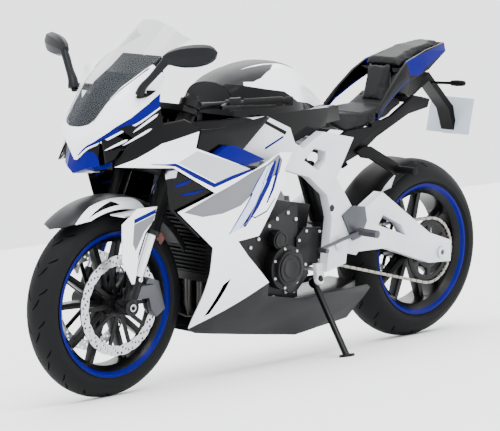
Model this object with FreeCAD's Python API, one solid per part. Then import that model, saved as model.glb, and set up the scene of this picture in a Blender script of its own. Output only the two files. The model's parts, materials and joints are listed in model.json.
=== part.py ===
import FreeCAD, Part
import math
import os

# A fully faired sport bike, leaning on its side stand.
# Everything is modelled upright first: X runs forward from the rear axle, Y to the rider's left, Z up
# from the road. placed() then leans the bike on to its stand and puts the origin under its middle.

V = FreeCAD.Vector

# Wheels and steering geometry.
WHEELBASE = 1415.0
FRONT_TYRE_R = 300.0
REAR_TYRE_R = 315.0
FRONT_TYRE_W = 118.0
REAR_TYRE_W = 178.0
FRONT_CROWN_R = 62.0
REAR_CROWN_R = 98.0
RIM_FLANGE_R = 232.0
BEAD_SEAT_R = 218.0
RIM_WELL_R = 202.0
RIM_WALL = 6.0
FRONT_RIM_W = 89.0
REAR_RIM_W = 140.0
FLANGE_T = 7.0
RAKE_DEG = 24.0
FORK_OFFSET = 30.0
FORK_HALF_SPACING = 105.0
STANCHION_R = 21.5
FORK_TUBE_R = 27.0
LEAN_DEG = 11.0

# Clearances: a running fit turns, a seat fit stands still, a gap keeps two bodies apart.
RUN = 0.3
SEAT = 0.05
WHEEL_GAP = 8.0

# Axles, hubs, discs and sprockets.
FRONT_AXLE_R = 12.0
FRONT_AXLE_BORE_R = 8.0
REAR_AXLE_R = 14.0
REAR_AXLE_BORE_R = 9.0
FRONT_HUB_R = 36.0
REAR_HUB_R = 46.0
FRONT_HUB_HALF = 58.0
REAR_HUB_HALF = 74.0
DISC_T = 5.0
FRONT_DISC_R = 160.0
FRONT_DISC_INNER_R = 128.0
FRONT_DISC_Y = 67.0
REAR_DISC_R = 110.0
REAR_DISC_INNER_R = 78.0
REAR_DISC_Y = -86.0
FORK_FOOT_INNER_Y = 80.0
FORK_FOOT_OUTER_Y = 130.0
CHAIN_PITCH = 15.875
REAR_TEETH = 45
FRONT_TEETH = 16
CHAIN_Y = 105.0
CHAIN_W = 16.0
CHAIN_H = 15.0
SPROCKET_T = 6.0

# Frame and swingarm.
SPAR_INNER_Y = 140.0
SPAR_OUTER_Y = 176.0
PIVOT_X = 535.0
PIVOT_Z = 405.0
PIVOT_R = 12.0
OUTPUT_X = 612.0
OUTPUT_Z = 400.0
ARM_INNER_Y = 122.0
ARM_OUTER_Y = 164.0
HEAD_R = 34.0
STEM_R = 17.0
HEAD_LOW_S = 480.0
HEAD_TOP_S = 636.0
YOKE_T = 24.0

# Bodywork.
PANEL_T = 4.0
SCREEN_T = 3.0
FENDER_R = 344.0

SIN_RAKE = math.sin(math.radians(RAKE_DEG))
COS_RAKE = math.cos(math.radians(RAKE_DEG))
FRONT_AXLE = V(WHEELBASE, 0, FRONT_TYRE_R)
REAR_AXLE = V(0, 0, REAR_TYRE_R)
UP_FORK = V(-SIN_RAKE, 0, COS_RAKE)
AHEAD = V(COS_RAKE, 0, SIN_RAKE)
Y_AXIS = V(0, 1, 0)


def on_fork(along, y=0.0, ahead=0.0):
    """A point given by its distance up the fork from the front axle, its side and how far ahead it lies."""
    return FRONT_AXLE + UP_FORK * along + AHEAD * ahead + V(0, y, 0)


def cylinder(base, direction, radius, height):
    return Part.makeCylinder(radius, height, base, direction)


def across(x, z, radius, y0, y1):
    """A round bar along Y."""
    return cylinder(V(x, y0, z), Y_AXIS, radius, y1 - y0)


def tube_across(x, z, outer, inner, y0, y1):
    return across(x, z, outer, y0, y1).cut(across(x, z, inner, y0 - 1, y1 + 1))


def outline(points, y=0.0):
    """A closed wire in the side view from (x, z) points."""
    corners = [V(x, y, z) for x, z in points]
    return Part.makePolygon(corners + corners[:1])


def plate(points, y0, y1):
    """A flat piece: a side-view outline extruded from y0 to y1."""
    return Part.Face(outline(points, y0)).extrude(V(0, y1 - y0, 0))


def loft(sections):
    """A solid through closed sections, each a list of points; a twisted quad becomes two flat triangles."""
    faces = [polygon(sections[0]), polygon(sections[-1])]
    count = len(sections[0])
    for before, after in zip(sections, sections[1:]):
        for i in range(count):
            j = (i + 1) % count
            faces += flat_faces(before[i], before[j], after[j], after[i])
    shell = Part.makeShell(faces)
    shell.sewShape()
    solid = Part.makeSolid(shell)
    return solid if solid.Volume > 0 else solid.reversed()


def polygon(points):
    return Part.Face(Part.makePolygon(list(points) + [points[0]]))


def flat_faces(a, b, c, d):
    corners = [p for p, q in ((a, d), (b, a), (c, b), (d, c)) if (p - q).Length > 1e-6]
    if len(corners) < 4:
        return [polygon(corners)] if len(corners) == 3 else []
    if abs((b - a).cross(d - a).normalize().dot(c - a)) < 1e-4:
        return [polygon(corners)]
    if (c - a).Length <= (d - b).Length:
        return [polygon((a, b, c)), polygon((a, c, d))]
    return [polygon((a, b, d)), polygon((b, c, d))]


def mirrored(shape):
    return shape.mirror(V(0, 0, 0), Y_AXIS)


def both_sides(shape):
    return shape, mirrored(shape)


def fused(shapes):
    first, rest = shapes[0], list(shapes[1:])
    return first.fuse(rest).removeSplitter() if rest else first


def turned(shape, centre, direction, degrees):
    copy = shape.copy()
    copy.rotate(centre, direction, degrees)
    return copy


def ring_of(shape, count, centre):
    """Copies of a shape spaced evenly about a Y axis."""
    return [turned(shape, centre, Y_AXIS, 360.0 * i / count) for i in range(count)]


def revolved(points, centre):
    """A ring from a closed (radius, y) profile turned about the wheel's axle."""
    corners = [V(centre.x + r, y, centre.z) for r, y in points]
    face = Part.Face(Part.makePolygon(corners + corners[:1]))
    return face.revolve(V(centre.x, 0, centre.z), Y_AXIS, 360)


def bent_tube(points, radius, bend, steps=2, sides=12):
    """A rod of many flat sides along straight runs, its bends made of short mitred lengths."""
    path = bent_path(points, bend, steps)
    way = (path[1] - path[0]).normalize()
    side = way.cross(V(0.3, 0.2, 1)).normalize()
    ring = [path[0] + FreeCAD.Rotation(way, 360.0 * i / sides).multVec(side) * radius for i in range(sides)]
    rings = [ring]
    for i in range(1, len(path)):
        way = (path[i] - path[i - 1]).normalize()
        ahead = (path[i + 1] - path[i]).normalize() if i + 1 < len(path) else way
        mitre = (way + ahead).normalize()
        ring = [q + way * ((path[i] - q).dot(mitre) / way.dot(mitre)) for q in ring]
        rings.append(ring)
    return loft(rings)


def bent_path(points, bend, steps):
    """The points of a path whose corners are rounded to the bend radius in a few straight steps."""
    path = [points[0]]
    for before, corner, after in zip(points, points[1:], points[2:]):
        back, on = (before - corner).normalize(), (after - corner).normalize()
        half = back.getAngle(on) / 2.0
        reach = min(bend / math.tan(half), 0.45 * min((before - corner).Length, (after - corner).Length))
        radius = reach * math.tan(half)
        centre = corner + (back + on).normalize() * (radius / math.sin(half))
        start, normal = corner + back * reach - centre, back.cross(on)
        sweep = math.degrees(math.pi - 2.0 * half)
        for i in range(steps + 1):
            turn = FreeCAD.Rotation(normal, -sweep * i / steps)
            path.append(centre + turn.multVec(start))
    return path + [points[-1]]


def strip(points, thickness):
    """A closed thin outline beside a polyline of (x, z) points, thickened towards the left of its run."""
    inner = []
    for i, (x, z) in enumerate(points):
        x0, z0 = points[max(i - 1, 0)]
        x1, z1 = points[min(i + 1, len(points) - 1)]
        length = math.hypot(x1 - x0, z1 - z0)
        inner.append((x - (z1 - z0) / length * thickness, z + (x1 - x0) / length * thickness))
    return points + inner[::-1]


def skin_across(rows, thickness):
    """A thin shell through side-view polylines that stand at rising y."""
    sections = [[V(x, y, z) for x, z in strip(points, thickness)] for y, points in rows]
    return loft(sections)


def skin_along(rows, thickness):
    """A thin left-hand shell through cross sections: each row is x and its (y, z) points, top to bottom."""
    sections = []
    for x, points in rows:
        ring = strip(points, -thickness)
        sections.append([V(x, y, z) for y, z in ring])
    return loft(sections)


# Tyres and rims.

def tyre(centre, radius, width, crown, rim_width):
    """A tyre as a ring of cones: tread across the crown, sidewalls, beads and the hollow inside."""
    half = width / 2.0
    bead = rim_width / 2.0 - SEAT
    wall = 9.0

    def crown_point(y, inset=0.0):
        return radius - crown + math.sqrt(crown ** 2 - y ** 2) - inset, y

    tread = [crown_point(half * k) for k in (0.0, 0.22, 0.46, 0.7, 0.88)]
    shoulder_r = crown_point(half * 0.95)[0]
    side_r = (shoulder_r + BEAD_SEAT_R + 16.0) / 2.0
    outside = tread + [(shoulder_r, half * 0.975), (side_r, half), (BEAD_SEAT_R + 16.0, bead + 4.0),
                       (BEAD_SEAT_R + 15.0, bead), (BEAD_SEAT_R + SEAT, bead)]
    inside = [(BEAD_SEAT_R + SEAT, bead - wall), (side_r, half - wall), (crown_point(half * 0.6, wall))]
    right = outside + inside
    ring = [(r, -y) for r, y in right[::-1] if y > 0] + [p for p in outside[:1]] + right[1:] + []
    return revolved(ring, centre)


def rim_barrel(centre, rim_width):
    half = rim_width / 2.0
    edge = half + FLANGE_T
    outer = [(RIM_FLANGE_R, edge), (RIM_FLANGE_R, half + 1.0), (BEAD_SEAT_R, half), (BEAD_SEAT_R, half - 12.0),
             (RIM_WELL_R, half - 22.0)]
    inner = [(RIM_WELL_R - RIM_WALL, half - 20.0), (RIM_FLANGE_R - 10.0, edge)]
    ring = outer + [(r, -y) for r, y in outer[::-1]] + [(r, -y) for r, y in inner[::-1]] + inner
    return revolved(ring, centre)


def spoke(centre, hub_r, lean_deg, root, tip, root_y, tip_y):
    """A tapered cast spoke that leaves the hub and leans sideways by lean_deg at the barrel."""
    lean = math.radians(lean_deg)
    reach = BEAD_SEAT_R - 18.0
    out = V(math.sin(lean) * reach, 0, math.cos(lean) * reach)
    side = V(math.cos(lean), 0, -math.sin(lean))
    base = V(math.sin(lean * 0.35) * (hub_r - 8.0), 0, math.cos(lean * 0.35) * (hub_r - 8.0))
    sections = []
    for point, width, depth in ((base, root, root_y), (out, tip, tip_y)):
        mid = V(centre.x, 0, centre.z) + point
        sections.append([
            mid + side * (-width / 2) + V(0, depth * 0.5, 0), mid + side * (width / 2) + V(0, depth * 0.5, 0),
            mid + side * (width / 2) + V(0, -depth * 0.5, 0), mid + side * (-width / 2) + V(0, -depth * 0.5, 0),
        ])
    return loft(sections)


def wheel_rim(centre, rim_width, hub_r, hub_half, bore_r, spoke_y):
    hub = tube_across(centre.x, centre.z, hub_r, bore_r, -hub_half, hub_half)
    pair = [spoke(centre, hub_r, lean, 22.0, 17.0, spoke_y, spoke_y * 0.7) for lean in (-15.0, 15.0)]
    spokes = [s for one in pair for s in ring_of(one, 5, centre)]
    return fused([rim_barrel(centre, rim_width), hub] + spokes)


def front_rim():
    return wheel_rim(FRONT_AXLE, FRONT_RIM_W, FRONT_HUB_R, FRONT_HUB_HALF, FRONT_AXLE_R + RUN, 34.0)


def rear_rim():
    return wheel_rim(REAR_AXLE, REAR_RIM_W, REAR_HUB_R, REAR_HUB_HALF, REAR_AXLE_R + RUN, 44.0)


def brake_disc(centre, outer, inner, y, hub_r, seat_y):
    """A floating disc: the ring, and the spider that bolts it to the hub's end face."""
    ring = tube_across(centre.x, centre.z, outer, inner, y - DISC_T / 2, y + DISC_T / 2)
    toward = 1.0 if y > seat_y else -1.0
    low, high = sorted((seat_y, y + toward * DISC_T / 2))
    boss = tube_across(centre.x, centre.z, hub_r, hub_r - 11.0, low, high)
    arm = Part.makeBox(13.0, DISC_T, inner - hub_r + 9.0,
                       V(centre.x - 6.5, y - DISC_T / 2, centre.z + hub_r - 5.0))
    arms = [turned(a, centre, Y_AXIS, 18.0) for a in ring_of(arm, 10, centre)]
    return fused([ring, boss] + arms)


def front_discs():
    left = brake_disc(FRONT_AXLE, FRONT_DISC_R, FRONT_DISC_INNER_R, FRONT_DISC_Y, FRONT_HUB_R, FRONT_HUB_HALF)
    return Part.Compound(list(both_sides(left)))


def rear_disc():
    return brake_disc(REAR_AXLE, REAR_DISC_R, REAR_DISC_INNER_R, REAR_DISC_Y, REAR_HUB_R, -REAR_HUB_HALF)


def pitch_radius(teeth):
    return CHAIN_PITCH / (2.0 * math.sin(math.pi / teeth))


def rear_sprocket():
    tip = pitch_radius(REAR_TEETH) - 6.0
    low, high = CHAIN_Y - SPROCKET_T / 2, CHAIN_Y + SPROCKET_T / 2
    ring = tube_across(0, REAR_TYRE_R, tip, tip - 20.0, low, high)
    carrier = tube_across(0, REAR_TYRE_R, 62.0, REAR_AXLE_R + RUN, REAR_HUB_HALF, high)
    arm = Part.makeBox(18.0, SPROCKET_T, tip - 60.0, V(-9.0, low, REAR_TYRE_R + 52.0))
    return fused([ring, carrier] + ring_of(arm, 6, REAR_AXLE))


# Front end.

def fork_leg():
    y = FORK_HALF_SPACING
    foot = cylinder(on_fork(-20, y), UP_FORK, 24.0, 120.0)
    lug = across(FRONT_AXLE.x, FRONT_AXLE.z, 27.0, FORK_FOOT_INNER_Y, FORK_FOOT_OUTER_Y)
    stanchion = cylinder(on_fork(95, y), UP_FORK, STANCHION_R, 200.0)
    seal = cylinder(on_fork(238, y), UP_FORK, FORK_TUBE_R + 1.5, 14.0)
    upper = cylinder(on_fork(250, y), UP_FORK, FORK_TUBE_R, HEAD_TOP_S + 56.0 - 250.0)
    cap = cylinder(on_fork(HEAD_TOP_S + 54.0, y), UP_FORK, 19.0, 12.0)
    bore = across(FRONT_AXLE.x, FRONT_AXLE.z, FRONT_AXLE_R + SEAT, 60.0, 150.0)
    return fused([foot, lug, stanchion, seal, upper, cap]).cut(bore)


def fork_legs():
    return Part.Compound(list(both_sides(fork_leg())))


def yoke(along, thickness, ear):
    """A clamp that grips both fork legs; its plan is waisted between the ears."""
    half = FORK_HALF_SPACING
    plan = [(ear, -half - 10), (ear, half + 10), (0, half + ear), (-ear, half + 8), (-FORK_OFFSET - 8, 42),
            (-FORK_OFFSET - 26, 0), (-FORK_OFFSET - 8, -42), (-ear, -half - 8), (0, -half - ear)]
    corners = [on_fork(along, y, a) for a, y in plan]
    body = Part.Face(Part.makePolygon(corners + corners[:1])).extrude(UP_FORK * thickness)
    for y in (half, -half):
        body = body.cut(cylinder(on_fork(along - 1, y), UP_FORK, FORK_TUBE_R + SEAT, thickness + 2))
    return body


def steering_stem():
    low = HEAD_LOW_S - YOKE_T - 12.0
    foot = yoke(low, YOKE_T + 8.0, 36.0)
    stem = cylinder(on_fork(low, 0, -FORK_OFFSET), UP_FORK, STEM_R, HEAD_TOP_S - low + 24.0)
    bore = cylinder(on_fork(low - 1, 0, -FORK_OFFSET), UP_FORK, 8.0, HEAD_TOP_S - low + 30.0)
    race = cylinder(on_fork(low + YOKE_T + 8.0, 0, -FORK_OFFSET), UP_FORK, 30.0, 4.0 - RUN)
    return fused([foot, stem, race]).cut(bore)


def top_yoke():
    along = HEAD_TOP_S + 4.0
    body = yoke(along, YOKE_T - 4.0, 34.0)
    hole = cylinder(on_fork(along - 1, 0, -FORK_OFFSET), UP_FORK, STEM_R + SEAT, YOKE_T)
    return body.cut(hole)


def handlebar():
    """The left clip-on: clamp, bar, grip, switch box, lever and its perch."""
    clamp_s = HEAD_TOP_S + 4.0 + YOKE_T - 4.0 + 1.0
    clamp = cylinder(on_fork(clamp_s, FORK_HALF_SPACING), UP_FORK, FORK_TUBE_R + 9.0, 22.0)
    hole = cylinder(on_fork(clamp_s - 40, FORK_HALF_SPACING), UP_FORK, FORK_TUBE_R + SEAT, 110.0)
    root = on_fork(clamp_s + 13.0, FORK_HALF_SPACING + 20.0, -20.0)
    end = V(940, 330, 925)
    way = (end - root).normalize()
    bar = cylinder(root, way, 11.0, (end - root).Length)
    grip = cylinder(root + way * 142.0, way, 16.5, 122.0)
    tip = cylinder(end, way, 15.0, 22.0)
    box = Part.makeBox(42.0, 34.0, 40.0, V(-21, 0, -20))
    box.Placement = FreeCAD.Placement(root + way * 98.0, FreeCAD.Rotation(Y_AXIS, way))
    perch = cylinder(root + way * 84.0, way, 16.0, 14.0)
    pivot = root + way * 91.0 + V(48, 22, -4)
    hold = root + way * 91.0
    arm = cylinder(hold, (pivot - hold).normalize(), 8.0, (pivot - hold).Length + 6.0)
    lever = bent_tube([pivot, pivot + way * 70.0 + V(6, 0, -2), pivot + way * 160.0 + V(-14, 0, -6)], 5.5, 60.0)
    return fused([clamp, bar, grip, tip, box, perch, arm, lever]).cut(hole)


def handlebars():
    return Part.Compound(list(both_sides(handlebar())))


def front_axle():
    rod = across(FRONT_AXLE.x, FRONT_AXLE.z, FRONT_AXLE_R, -FORK_FOOT_OUTER_Y - 4, FORK_FOOT_OUTER_Y + 4)
    collars = [tube_across(FRONT_AXLE.x, FRONT_AXLE.z, 18.0, FRONT_AXLE_R - 1, a, b) for a, b in (
        (FRONT_HUB_HALF + RUN, FORK_FOOT_INNER_Y), (-FORK_FOOT_INNER_Y, -FRONT_HUB_HALF - RUN))]
    bore = across(FRONT_AXLE.x, FRONT_AXLE.z, FRONT_AXLE_BORE_R, -200, 200)
    return fused([rod] + collars).cut(bore)


def front_caliper():
    """A radial four-piston caliper behind the left leg, with a slot for the disc and a foot to the leg."""
    body = plate([(-176, -30), (-150, 62), (-108, 78), (-96, 60), (-118, -26), (-140, -52)], 50.0, 88.0)
    body.translate(FRONT_AXLE)
    slot = across(FRONT_AXLE.x, FRONT_AXLE.z, FRONT_DISC_R + 6, FRONT_DISC_Y - 5, FRONT_DISC_Y + 5)
    body = body.cut(slot)
    wheel = across(FRONT_AXLE.x, FRONT_AXLE.z, 150.0, 40.0, 62.0)
    foot = Part.makeBox(112.0, 26.0, 40.0, V(-112, 84, 18))
    foot.translate(FRONT_AXLE)
    leg = cylinder(on_fork(-20, FORK_HALF_SPACING), UP_FORK, 24.0 + SEAT, 120.0)
    return fused([body, foot]).cut(leg)


def front_calipers():
    return Part.Compound(list(both_sides(front_caliper())))


def front_fender():
    cx, cz = FRONT_AXLE.x, FRONT_AXLE.z
    outer = FENDER_R
    rows = [(outer, 0), (outer - 3, 34), (outer - 14, 60), (outer - 40, 76)]
    ring = rows + [(r - PANEL_T, y - PANEL_T * 0.6) for r, y in rows[::-1][:-1]] + [(outer - PANEL_T, 0)]
    whole = fused(list(both_sides(revolved(ring, FRONT_AXLE))))
    sector = plate([(cx, cz), (cx + 260, cz + 300), (cx + 100, cz + 420), (cx - 300, cz + 420), (cx - 380, cz + 190)],
                   -100, 100)
    whole = whole.common(sector)
    leg = plate([(cx + 40, cz + 262), (cx - 20, cz + 310), (cx - 102, cz + 309), (cx - 92, cz + 250),
                 (cx - 50, cz + 76), (cx + 2, cz + 76), (cx + 44, cz + 150)],
                FORK_FOOT_OUTER_Y + 2, FORK_FOOT_OUTER_Y + 6)
    shelf = plate([(cx - 60, cz + 296), (cx + 36, cz + 292), (cx + 36, cz + 288), (cx - 60, cz + 292)], 70, 136)
    peg = cylinder(on_fork(92, FORK_HALF_SPACING + 20), Y_AXIS, 8.0, 10.0)
    side = [s for p in (leg, shelf, peg) for s in both_sides(p)]
    body = fused([whole] + side)
    for y in (FORK_HALF_SPACING, -FORK_HALF_SPACING):
        body = body.cut(cylinder(on_fork(232, y), UP_FORK, FORK_TUBE_R + 2.0, 140.0))
        body = body.cut(cylinder(on_fork(-20, y), UP_FORK, 24.0 + SEAT, 120.0))
    return body


# Frame, swingarm and rear end.

SPAR = [(866, 858), (764, 814), (742, 763), (702, 741), (606, 788), (462, 757), (544, 630), (470, 528),
        (480, 440), (497, 337), (590, 318), (566, 496), (588, 575), (675, 644), (792, 679), (905, 722), (988, 763)]
SPAR_WINDOW = [(700, 702), (650, 738), (596, 722), (600, 690), (632, 662)]


def frame_side():
    spar = plate(SPAR, SPAR_INNER_Y, SPAR_OUTER_Y)
    spar = spar.cut(plate(SPAR_WINDOW, SPAR_INNER_Y - 5, SPAR_OUTER_Y + 5))
    head = on_fork((HEAD_LOW_S + HEAD_TOP_S) / 2, 0, -FORK_OFFSET)
    front = [V(head.x - 6, 12, 760), V(head.x - 6, 30, 760), V(head.x - 24, 30, 846), V(head.x - 24, 12, 846)]
    back = [V(987, SPAR_INNER_Y, 762), V(987, SPAR_OUTER_Y, 762), V(865, SPAR_OUTER_Y, 857),
            V(865, SPAR_INNER_Y, 857)]
    nose = loft([back, front])
    return spar.fuse(nose)


def main_frame():
    left, right = both_sides(frame_side())
    low = on_fork(HEAD_LOW_S, 0, -FORK_OFFSET)
    head = cylinder(low, UP_FORK, HEAD_R, HEAD_TOP_S - HEAD_LOW_S)
    rear = across(560, 745, 16.0, -SPAR_INNER_Y - 2, SPAR_INNER_Y + 2)
    lug = cylinder(STAND_PIVOT + STAND_AXIS * RUN, STAND_AXIS, 17.0, 14.0)
    arm = plate([(572, 345), (618, 345), (613, 292), (583, 292)], SPAR_INNER_Y - 2, SPAR_INNER_Y + 16)
    arm = arm.cut(cylinder(STAND_PIVOT - STAND_AXIS * 60.0, STAND_AXIS, 80.0, 60.0 + RUN))
    lugs = plate([(800, 690), (872, 715), (876, 662), (844, 652)], SPAR_INNER_Y, SPAR_OUTER_Y - 12)
    low_lugs = plate([(560, 345), (606, 345), (618, 318), (590, 310)], SPAR_INNER_Y, SPAR_INNER_Y + 14)
    bosses = [across(x, z, r, y, SPAR_INNER_Y + 1) for x, z, r, y in (
        (852, 674, 12.0, ENGINE_HALF + SEAT), (606, 324, 7.0, GEARBOX_HALF + SEAT))]
    right_boss = across(606, 324, 7.0, -SPAR_INNER_Y - 1, -ENGINE_HALF - SEAT)
    mounts = [lugs, mirrored(lugs), low_lugs, mirrored(low_lugs)] + bosses + [mirrored(bosses[0]), right_boss]
    body = fused([left, right, head, rear, lug, arm] + mounts)
    body = body.cut(cylinder(STAND_PIVOT - STAND_AXIS * 40.0, STAND_AXIS, STAND_PIN_R + RUN, 60.0))
    body = body.cut(cylinder(STAND_PIVOT + STAND_AXIS * (14.0 + RUN), STAND_AXIS, STAND_PIN_R + 6.0, 46.0))
    body = body.cut(cylinder(STAND_PIVOT - STAND_AXIS * 40.0, STAND_AXIS, 21.0, 40.0 + RUN))
    body = body.cut(cylinder(low - UP_FORK, UP_FORK, STEM_R + RUN, HEAD_TOP_S - HEAD_LOW_S + 2))
    return body.cut(across(PIVOT_X, PIVOT_Z, PIVOT_R + SEAT, -220, 220))


def pivot_axle():
    rod = across(PIVOT_X, PIVOT_Z, PIVOT_R, -SPAR_OUTER_Y - 3, SPAR_OUTER_Y + 3)
    caps = [across(PIVOT_X, PIVOT_Z, 17.0, a, b) for a, b in (
        (SPAR_OUTER_Y, SPAR_OUTER_Y + 7), (-SPAR_OUTER_Y - 7, -SPAR_OUTER_Y))]
    return fused([rod] + caps)


ARM = [(505, 446), (440, 484), (303, 556), (60, 390), (-52, 352), (-52, 278), (60, 284), (286, 362), (430, 366),
       (500, 366)]
ARM_WINDOW = [(300, 478), (208, 434), (186, 396), (326, 446)]


def swingarm():
    arm = plate(ARM, ARM_INNER_Y, ARM_OUTER_Y)
    arm = arm.cut(plate(ARM_WINDOW, ARM_INNER_Y - 5, ARM_OUTER_Y + 5))
    left, right = both_sides(arm)
    bridge = plate([(535, 424), (352, 420), (345, 385), (390, 345), (535, 386)], -ARM_INNER_Y - 1, ARM_INNER_Y + 1)
    eye = across(PIVOT_X, PIVOT_Z, 25.0, -SPAR_INNER_Y + 0.5, SPAR_INNER_Y - 0.5)
    body = fused([left, right, bridge, eye])
    body = body.cut(across(PIVOT_X, PIVOT_Z, PIVOT_R + SEAT, -220, 220))
    spar_l, spar_r = both_sides(plate(SPAR, SPAR_INNER_Y - 0.4, SPAR_OUTER_Y + 40))
    body = body.cut(spar_l).cut(spar_r)
    return body.cut(across(0, REAR_TYRE_R, REAR_AXLE_R + SEAT, -220, 220))


def rear_axle():
    rod = across(0, REAR_TYRE_R, REAR_AXLE_R, -ARM_OUTER_Y - 8, ARM_OUTER_Y + 8)
    nut_l = across(0, REAR_TYRE_R, 21.0, ARM_OUTER_Y, ARM_OUTER_Y + 8)
    nut_r = across(0, REAR_TYRE_R, 21.0, -ARM_OUTER_Y - 8, -ARM_OUTER_Y)
    spacer_l = across(0, REAR_TYRE_R, 20.0, CHAIN_Y + SPROCKET_T / 2 + RUN, ARM_INNER_Y)
    spacer_r = across(0, REAR_TYRE_R, 20.0, -ARM_INNER_Y, REAR_DISC_Y - DISC_T / 2 - 2.0)
    inner_r = across(0, REAR_TYRE_R, 20.0, REAR_DISC_Y - 4, -REAR_HUB_HALF - RUN)
    bore = across(0, REAR_TYRE_R, REAR_AXLE_BORE_R, -300, 300)
    return fused([rod, nut_l, nut_r, spacer_l, spacer_r, inner_r]).cut(bore)


def chain():
    """One fixed loop round both sprockets."""
    big, small = pitch_radius(REAR_TEETH), pitch_radius(FRONT_TEETH)
    fx, fz = OUTPUT_X, OUTPUT_Z
    span = math.hypot(fx, fz - REAR_TYRE_R)
    slope = math.atan2(fz - REAR_TYRE_R, fx)
    open_angle = math.acos((big - small) / span)

    def loop(extra):
        def touch(cx, cz, r, side):
            a = slope + side * open_angle
            return V(cx + r * math.cos(a), 0, cz + r * math.sin(a))
        rb, rs = big + extra, small + extra
        top_b, low_b = touch(0, REAR_TYRE_R, rb, 1), touch(0, REAR_TYRE_R, rb, -1)
        top_s, low_s = touch(fx, fz, rs, 1), touch(fx, fz, rs, -1)
        back = V(-rb * math.cos(slope), 0, REAR_TYRE_R - rb * math.sin(slope))
        nose = V(fx + rs * math.cos(slope), 0, fz + rs * math.sin(slope))
        return Part.Wire([
            Part.LineSegment(top_b, top_s).toShape(), Part.Arc(top_s, nose, low_s).toShape(),
            Part.LineSegment(low_s, low_b).toShape(), Part.Arc(low_b, back, top_b).toShape()])

    face = Part.Face(loop(CHAIN_H / 2)).cut(Part.Face(loop(-CHAIN_H / 2 + 2.0)))
    body = face.extrude(V(0, CHAIN_W, 0))
    body.translate(V(0, CHAIN_Y - CHAIN_W / 2, 0))
    return body


def rear_caliper():
    body = plate([(60, 20), (112, 40), (128, 86), (96, 108), (58, 84)], -104.0, -70.0)
    body.translate(REAR_AXLE)
    slot = across(0, REAR_TYRE_R, REAR_DISC_R + 6, REAR_DISC_Y - 5, REAR_DISC_Y + 5)
    body = body.cut(slot)
    hanger = plate([(60, 30), (126, 40), (126, 78), (60, 78)], -ARM_INNER_Y, -103.0)
    hanger.translate(REAR_AXLE)
    return body.fuse(hanger)


def rear_hugger():
    rows = [(REAR_TYRE_R + 14, 0), (REAR_TYRE_R + 9, 60), (REAR_TYRE_R - 14, 96)]
    ring = rows + [(r - PANEL_T, y - 1.5) for r, y in rows[::-1][:-1]] + [(REAR_TYRE_R + 14 - PANEL_T, 0)]
    whole = fused(list(both_sides(revolved(ring, REAR_AXLE))))
    sector = plate([(0, REAR_TYRE_R), (60, 720), (520, 720), (520, 420)], -120, 120)
    whole = whole.common(sector)
    ears = plate([(322, 470), (300, 520), (236, 492), (262, 452)], 92, ARM_INNER_Y)
    return fused([whole] + list(both_sides(ears)))


def shock_absorber():
    low, high = V(424, 0, 400), V(560, 0, 745)
    way = (high - low).normalize()
    length = (high - low).Length
    coils = [Part.makeTorus(34.0, 6.0, low + way * (80.0 + 21.0 * i), way) for i in range(9)]
    body = cylinder(low, way, 20.0, length)
    damper = cylinder(low + way * 50.0, way, 28.0, 228.0)
    plates = [cylinder(low + way * s, way, 40.0, 8.0) for s in (66.0, 262.0)]
    cross_tube = across(560, 745, 16.0 + SEAT, -40, 40)
    return biggest(fused([body, damper] + plates + coils).cut(cross_tube).cut(swingarm()))


def side_stand():
    """The stand as it stands on the road: pivot boss, leg and foot."""
    foot = STAND_FOOT
    pivot = STAND_PIVOT
    axis = STAND_AXIS
    boss = cylinder(pivot - axis * 28.0, axis, 17.0, 28.0)
    pin = cylinder(pivot - axis, axis, STAND_PIN_R, 16.0)
    head = cylinder(pivot + axis * (14.0 + 2 * RUN), axis, STAND_PIN_R + 4.0, 5.0)
    start = pivot - axis * 17.0
    leg = cylinder(start, (foot - start).normalize(), 11.0, (foot - start).Length)
    sole = across_sole(foot)
    ground = Part.makeBox(2000, 2000, 400, V(-300, -1000, -400))
    ground.Placement = LEAN.inverse()
    return fused([boss, pin, head, leg, sole]).cut(ground)


def across_sole(foot):
    """The foot's sole: a thick oval on the road."""
    sole = cylinder(V(0, 0, 0), V(0, 0, 1), 26.0, 8.0)
    place = LEAN.multVec(foot)
    sole.translate(V(place.x, place.y, 0))
    sole.Placement = LEAN.inverse().multiply(sole.Placement)
    return sole


# Engine, radiator and exhaust.

ENGINE_HALF = 128.0
GEARBOX_HALF = 88.0


def engine_block():
    case = plate([(1000, 300), (1000, 440), (900, 470), (690, 556), (680, 556), (680, 240), (900, 230)],
                 -ENGINE_HALF, ENGINE_HALF)
    gearbox = plate([(681, 556), (580, 536), (596, 460), (585, 300), (640, 250), (681, 240)],
                    -ENGINE_HALF, GEARBOX_HALF)
    bank = plate([(880, 440), (1005, 420), (1012, 640), (975, 690), (850, 690), (790, 556)],
                 -ENGINE_HALF, ENGINE_HALF)
    shaft = across(OUTPUT_X, OUTPUT_Z, 14.0, GEARBOX_HALF - 1, CHAIN_Y - SPROCKET_T / 2)
    return fused([case, gearbox, bank, shaft]).cut(across(PIVOT_X, PIVOT_Z, 40.0, -200, 200))


def output_sprocket():
    tip = pitch_radius(FRONT_TEETH) - 6.0
    return across(OUTPUT_X, OUTPUT_Z, tip, CHAIN_Y - SPROCKET_T / 2, CHAIN_Y + SPROCKET_T / 2)


def sprocket_cover():
    shell = plate([(570, 462), (655, 470), (690, 440), (690, 350), (655, 335), (575, 342)], 117, 134)
    post = across(672, 462, 7.0, GEARBOX_HALF, 118)
    low = across(672, 338, 7.0, GEARBOX_HALF, 118)
    return fused([shell, post, low]).cut(plate([(680, 300), (680, 600), (1100, 600), (1100, 300)], 100, ENGINE_HALF))


def alternator_cover():
    main = across(765, 352, 74.0, ENGINE_HALF, 166)
    dome = across(765, 352, 58.0, 166, 182)
    gear = across(790, 446, 32.0, ENGINE_HALF, 160)
    return fused([main, dome, gear])


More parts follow.
